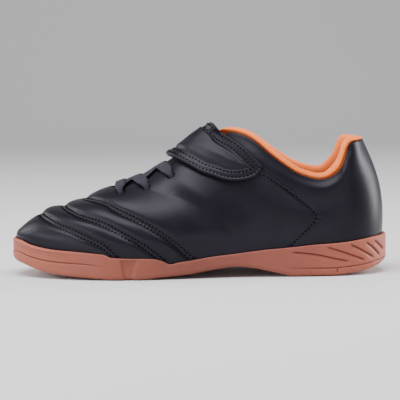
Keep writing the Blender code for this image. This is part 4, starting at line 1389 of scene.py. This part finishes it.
def build_insole(material):
    """The sock liner: a board with rounded edges and a shallow bed."""
    u = np.linspace(0, 1, 160)
    inset = -(SOLE_LIP + WALL + INSOLE_FIT)
    edges = {}
    for side in SIDES:
        rows = []
        for a in np.linspace(-math.pi / 2, math.pi / 2, 7):
            out = inset - INSOLE_ROUND * (1 - math.cos(a))
            flat, _ = plan(u, side, np.full(len(u), out))
            rows.append(joined(flat, floor_z(u) + FIT + INSOLE_THICKNESS * (0.5 + 0.5 * math.sin(a))))
        edges[side] = np.stack(rows)
    across = np.linspace(0, 1, 40)
    first, last = edges[OUTER][-1], edges[INNER][-1]
    top = np.stack([first + (last - first) * t for t in across])
    # a shallow foot bed
    for k, t in enumerate(across):
        top[k, :, 2] -= INSOLE_BED * math.sin(math.pi * t) * np.sin(math.pi * u)
    rings = np.concatenate([edges[OUTER], top[1:-1], edges[INNER][::-1]])
    levels, count = rings.shape[:2]
    index = np.arange(levels * count).reshape(levels, count)
    faces = grid_faces(np.concatenate([index, index[:1]]))
    points = rings.reshape(-1, 3)
    return mesh_object("insole_board", points, faces, material, uv=points[:, :2] / 0.001)


insole = build_insole(insole_cloth)
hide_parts("insole")


# Strap


def strap_base():
    """Fine rows of the strap's place on the shoe, its directions and its lift, front to rear."""
    share = np.linspace(0, 1, 9)
    places = []
    directions = []
    for side, s0, v0, s1, v1, lift in STRAP:
        u = angle(s0 + (s1 - s0) * share)
        v = v0 + (v1 - v0) * share
        place = surface(u, v, side)
        normal = normals(u, v, side)
        if v0 == 1.0:
            place = (place + surface(u, v, INNER)) / 2
            normal = unit(normal + normals(u, v, INNER))
        sag = STRAP_SAG * 4 * share * (1 - share)
        raised = lift * (STRAP_LIFT * (1 + STRAP_REAR_LIFT * share) - sag)
        places.append(place + normal * raised[:, None])
        directions.append(normal)
    places = np.array(places)
    directions = np.array(directions)
    for _ in range(3):
        directions[1:-1] = unit(directions[:-2] + 2 * directions[1:-1] + directions[2:])
    places[1:-1] = (places[:-2] + 8 * places[1:-1] + places[2:]) / 10
    k = np.arange(len(STRAP))
    fine_k = np.linspace(0, len(STRAP) - 1, 150)
    fine_w = np.linspace(0, 1, 61)

    def refine(grid):
        rows = np.stack([through(k, grid[:, j], fine_k) for j in range(9)], 1)
        return np.stack([through(share, row, fine_w) for row in rows])

    return refine(places), unit(refine(directions)), fine_k


def build_strap(material):
    """The strap: flat stitched border, rolled edge and padded middle."""
    place, normal, fine_k = strap_base()
    rows, columns = place.shape[:2]
    # distance in from the edges and the tip
    rim = Line(strap_outline(place), strap_outline(normal))
    d, s = rim.near(place, 0.06)
    inward = np.abs(d).reshape(rows, columns)
    pad = smooth(STRAP_BORDER, STRAP_PAD_EDGE, inward)
    medial = smooth(2.0, 5.0, fine_k)[:, None]
    crown = smooth(STRAP_BORDER, STRAP_CROWN_EDGE, inward)
    thick = np.full((rows, columns), STRAP_THICKNESS)
    thick = thick - STRAP_EDGE_ROUND * (1 - smooth(0.0, 0.0009, inward)) ** 2
    thick = thick + STRAP_PAD * medial * (0.62 * pad + 0.38 * crown)
    # a crease round the padding and a bead at the edge
    for line_at, rise in STRAP_LINES:
        thick = thick + rise * bell(inward - line_at, STRAP_LINE_HALF)
    for row_at in STRAP_ROWS:
        groove = bell(inward - row_at, STRAP_GROOVE_HALF)
        wave = np.cos(2 * math.pi * s.reshape(rows, columns) / STITCH_PITCH)
        thick = thick - STRAP_GROOVE * groove * (1.2 + wave)
    low = place + normal * STRAP_GAP
    top = low + normal * thick[..., None]
    points = np.concatenate([top.reshape(-1, 3), low.reshape(-1, 3)])
    index = np.arange(rows * columns).reshape(rows, columns)
    other = index + rows * columns
    faces = grid_faces(index) + grid_faces(other)
    for edge in (np.s_[0], np.s_[-1], np.s_[:, 0], np.s_[:, -1]):
        faces += grid_faces(np.stack([index[edge], other[edge]]))
    obj = mesh_object("strap_leather", points, faces, material)
    return obj, place, rim


def strap_outline(grid):
    """The strap's edge: rear side, tip, front side, sewn end."""
    return np.concatenate([grid[:, -1], grid[-1, ::-1][1:], grid[::-1, 0][1:], grid[0][1:]])


strap, strap_place, strap_rim = build_strap(strap_leather)
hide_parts("strap")
rows = []
for inset in STRAP_ROWS:
    both = [strap_rim.offset(inset * way) for way in SIDES]
    middle = strap_place.reshape(-1, 3).mean(0)
    line = min(both, key=lambda one: np.linalg.norm(one.p - middle, axis=1).mean())
    clear = np.abs(strap_rim.near(line.p)[0]) > inset * 0.93
    # the row runs straight over the fold at the rear
    clear &= (np.abs(line.p[:, 1]) > STRAP_FOLD_HALF) | (line.p[:, 0] < 0)
    rows.append(Line(line.p[clear], line.n[clear]))
stitches("strap_stitches", rows, tree_of(strap), black_thread)


# Laces


def lace_places():
    """The runs of each lace strand: (side, station, height along the rib, lift over the surface)."""
    runs = []
    s, v = HOLES[0]
    span = list(np.linspace(v, 1.0, 5))
    over = [(OUTER, s, a, LACE_GAP) for a in span]
    runs.append(over + [(INNER, s, a, LACE_GAP) for a in span[-2::-1]])
    for k in range(1, len(HOLES)):
        for side in SIDES:
            s1, v1 = HOLES[k]
            s0 = HOLES[k - 1][0]
            middle_station = (s0 + s1) / 2
            run = []
            for t in (0.0, 0.33, 0.67, 1.0):
                run.append((side, s1 + (middle_station - s1) * t, v1 + (1 - v1) * t, LACE_GAP))
            for t in (0.5, 1.0):
                station = middle_station + (s0 - middle_station) * t * LACE_END_REACH[k - 1]
                u = np.array([float(angle(station))])
                top = height_at_width(u, THROAT_HALF_WIDTH * LACE_END_WIDTH * t, -side)
                run.append((-side, station, float(top[0]), LACE_GAP - (LACE_DIP + LACE_GAP) * t))
            runs.append(run)
    return runs


def build_lace(name, run, material, both_ends):
    """One flat strand that dives into its lace hole."""
    centre = []
    normal = []
    for side, station, v, lift in run:
        u = np.array([float(angle(station))])
        one = np.array([v])
        place = surface(u, one, side)[0]
        direction = normals(u, one, side)[0]
        if v >= 1:
            direction = direction + normals(u, one, -side)[0]
            place[1] = 0
        direction = unit(direction)
        centre.append(place + direction * (float(swell_at(u, one)[0]) + lift))
        normal.append(direction)
    centre = np.array(centre)
    normal = np.array(normal)
    first_in = normal[0]
    # the strand dives into its hole
    heads = [centre[0] - first_in * deep for deep in LACE_DIVE]
    start = [centre[0] - first_in * LACE_START + (centre[1] - centre[0]) * 0.12]
    path = heads + start + list(centre[1:])
    turn = [normal[0], normal[0], normal[0]] + list(normal[1:])
    if both_ends:
        last_in = normal[-1]
        tail = [centre[-1] - last_in * LACE_START + (centre[-2] - centre[-1]) * 0.12]
        tail += [centre[-1] - last_in * deep for deep in reversed(LACE_DIVE)]
        path = path[:-1] + tail
        turn = turn[:-1] + [last_in] * 3
    path = np.array(path)
    turn = np.array(turn)
    knots = lengths(path)
    fine = np.linspace(0, knots[-1], 90)
    p = through(knots, path, fine)
    n = unit(np.stack([steady(knots, turn[:, k])(fine) for k in range(3)], -1))
    t = unit(np.gradient(p, axis=0))
    # the flat of the strand stays square to the shoe where the strand dives
    head = unit(centre[1] - centre[0])
    across_first = unit(np.cross(normal[0], head))
    across = np.cross(n, t)
    strong = np.linalg.norm(across, axis=1)
    blend = smooth(0.35, 0.8, strong)[:, None]
    if both_ends:
        back = unit(centre[-1] - centre[-2])
        across_last = unit(np.cross(normal[-1], back))
        near_last = (fine > knots[-1] / 2)[:, None]
        rest = np.where(near_last, across_last, across_first)
    else:
        rest = np.repeat(across_first[None], len(fine), 0)
    across = unit(unit(across) * blend + rest * (1 - blend))
    up = unit(np.cross(t, across))
    narrow = smooth(*LACE_NARROW, fine)
    if both_ends:
        narrow = np.minimum(narrow, smooth(*LACE_NARROW, knots[-1] - fine))
    half = LACE_WIDTH / 2 * (0.48 + 0.52 * narrow)
    plump = LACE_THICKNESS / 2 * (1.25 - 0.35 * narrow)
    turns = np.linspace(0, 2 * math.pi, 28, endpoint=False)
    rings = []
    for k in range(len(fine)):
        x = np.sign(np.cos(turns)) * np.abs(np.cos(turns)) ** 0.75
        z = np.sign(np.sin(turns)) * np.abs(np.sin(turns)) ** 0.85
        dip = 1 - 0.22 * (1 - np.abs(x) ** 2) * narrow[k]
        ring = p[k] + across[k] * (x * half[k])[:, None]
        rings.append(ring + up[k] * (z * plump[k] * dip + plump[k])[:, None])
    return loft_object(name, rings, material, pitch=0.00042)


for number, run in enumerate(lace_places()):
    build_lace(f"lace_{number}", run, lace_black, number == 0)
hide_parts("laces")


# Stage, light and camera


def build_stage():
    profile = [(-3.0, 0.0), (1.2, 0.0)]
    for a in np.linspace(0, math.pi / 2, 14)[1:]:
        profile.append((1.2 + 0.8 * math.sin(a), 0.8 - 0.8 * math.cos(a)))
    profile.append((2.0, 4.0))
    points = [(x, y, z - 0.0002) for x in (-4.0, 4.0) for y, z in profile]
    n = len(profile)
    faces = [(k, k + n, k + n + 1, k + 1) for k in range(n - 1)]
    material, tree, shader = material_of("pale_floor")
    settings(tree, shader, Base_Color=(0.72, 0.72, 0.73, 1.0), Roughness=0.75)
    mesh = bpy.data.meshes.new("floor")
    mesh.from_pydata(points, [], faces)
    mesh.materials.append(material)
    mesh.shade_smooth()
    floor = bpy.data.objects.new("floor", mesh)
    bpy.context.scene.collection.objects.link(floor)


def area(name, place, target, size, power):
    data = bpy.data.lights.new(name, "AREA")
    data.shape = "RECTANGLE"
    data.size, data.size_y = size
    data.energy = power
    lamp = bpy.data.objects.new(name, data)
    lamp.location = place
    lamp.rotation_euler = (Vector(target) - Vector(place)).to_track_quat("-Z", "Y").to_euler()
    bpy.context.scene.collection.objects.link(lamp)


build_stage()
area("key", (-0.25, -0.35, 1.10), (0.0, 0.0, 0.03), (1.0, 0.6), 17.0)
area("front_fill", (0.1, -1.6, 0.13), (0.0, 0.0, 0.03), (1.6, 0.24), 3.6)
area("heel_rim", (1.10, 0.30, 0.34), (0.09, 0.0, 0.04), (0.45, 0.7), 17.0)
area("toe_fill", (-0.95, -0.55, 0.42), (-0.07, 0.0, 0.03), (0.7, 0.4), 5.5)
area("toe_low", (-0.80, -1.00, 0.12), (-0.08, 0.0, 0.02), (0.6, 0.2), 2.2)
area("collar_light", (0.28, -0.15, 0.85), (0.06, 0.0, 0.06), (0.3, 0.3), 3.0)
area("toe_rim", (-0.9, 0.3, 0.5), (-0.06, 0.0, 0.03), (0.6, 0.5), 6.0)

world = bpy.data.worlds.new("studio")
bpy.context.scene.world = world
world.use_nodes = True
background = next(n for n in world.node_tree.nodes if n.type == "BACKGROUND")
background.inputs["Color"].default_value = (0.82, 0.84, 0.88, 1.0)
background.inputs["Strength"].default_value = 0.28

CAMERA_DISTANCE = 1.100
CAMERA_RISE = math.radians(5.0)
CAMERA_ROLL = math.radians(0.706)
AIM_HEIGHT = 0.038
camera_data = bpy.data.cameras.new("camera")
camera_data.sensor_width = 36.0
camera_data.lens = 178.2
camera_data.shift_x = 0.0026
camera_data.shift_y = 0.0082
camera_data.clip_start = 0.05
camera = bpy.data.objects.new("camera", camera_data)
bpy.context.scene.collection.objects.link(camera)
eye_height = AIM_HEIGHT + CAMERA_DISTANCE * math.sin(CAMERA_RISE)
eye = Vector((0.0, -CAMERA_DISTANCE * math.cos(CAMERA_RISE), eye_height))
aim = (Vector((0.0, 0.0, AIM_HEIGHT)) - eye).to_track_quat("-Z", "Y")
camera.location = eye
camera.rotation_mode = "QUATERNION"
camera.rotation_quaternion = aim @ Quaternion((0.0, 0.0, 1.0), -CAMERA_ROLL)
bpy.context.scene.camera = camera
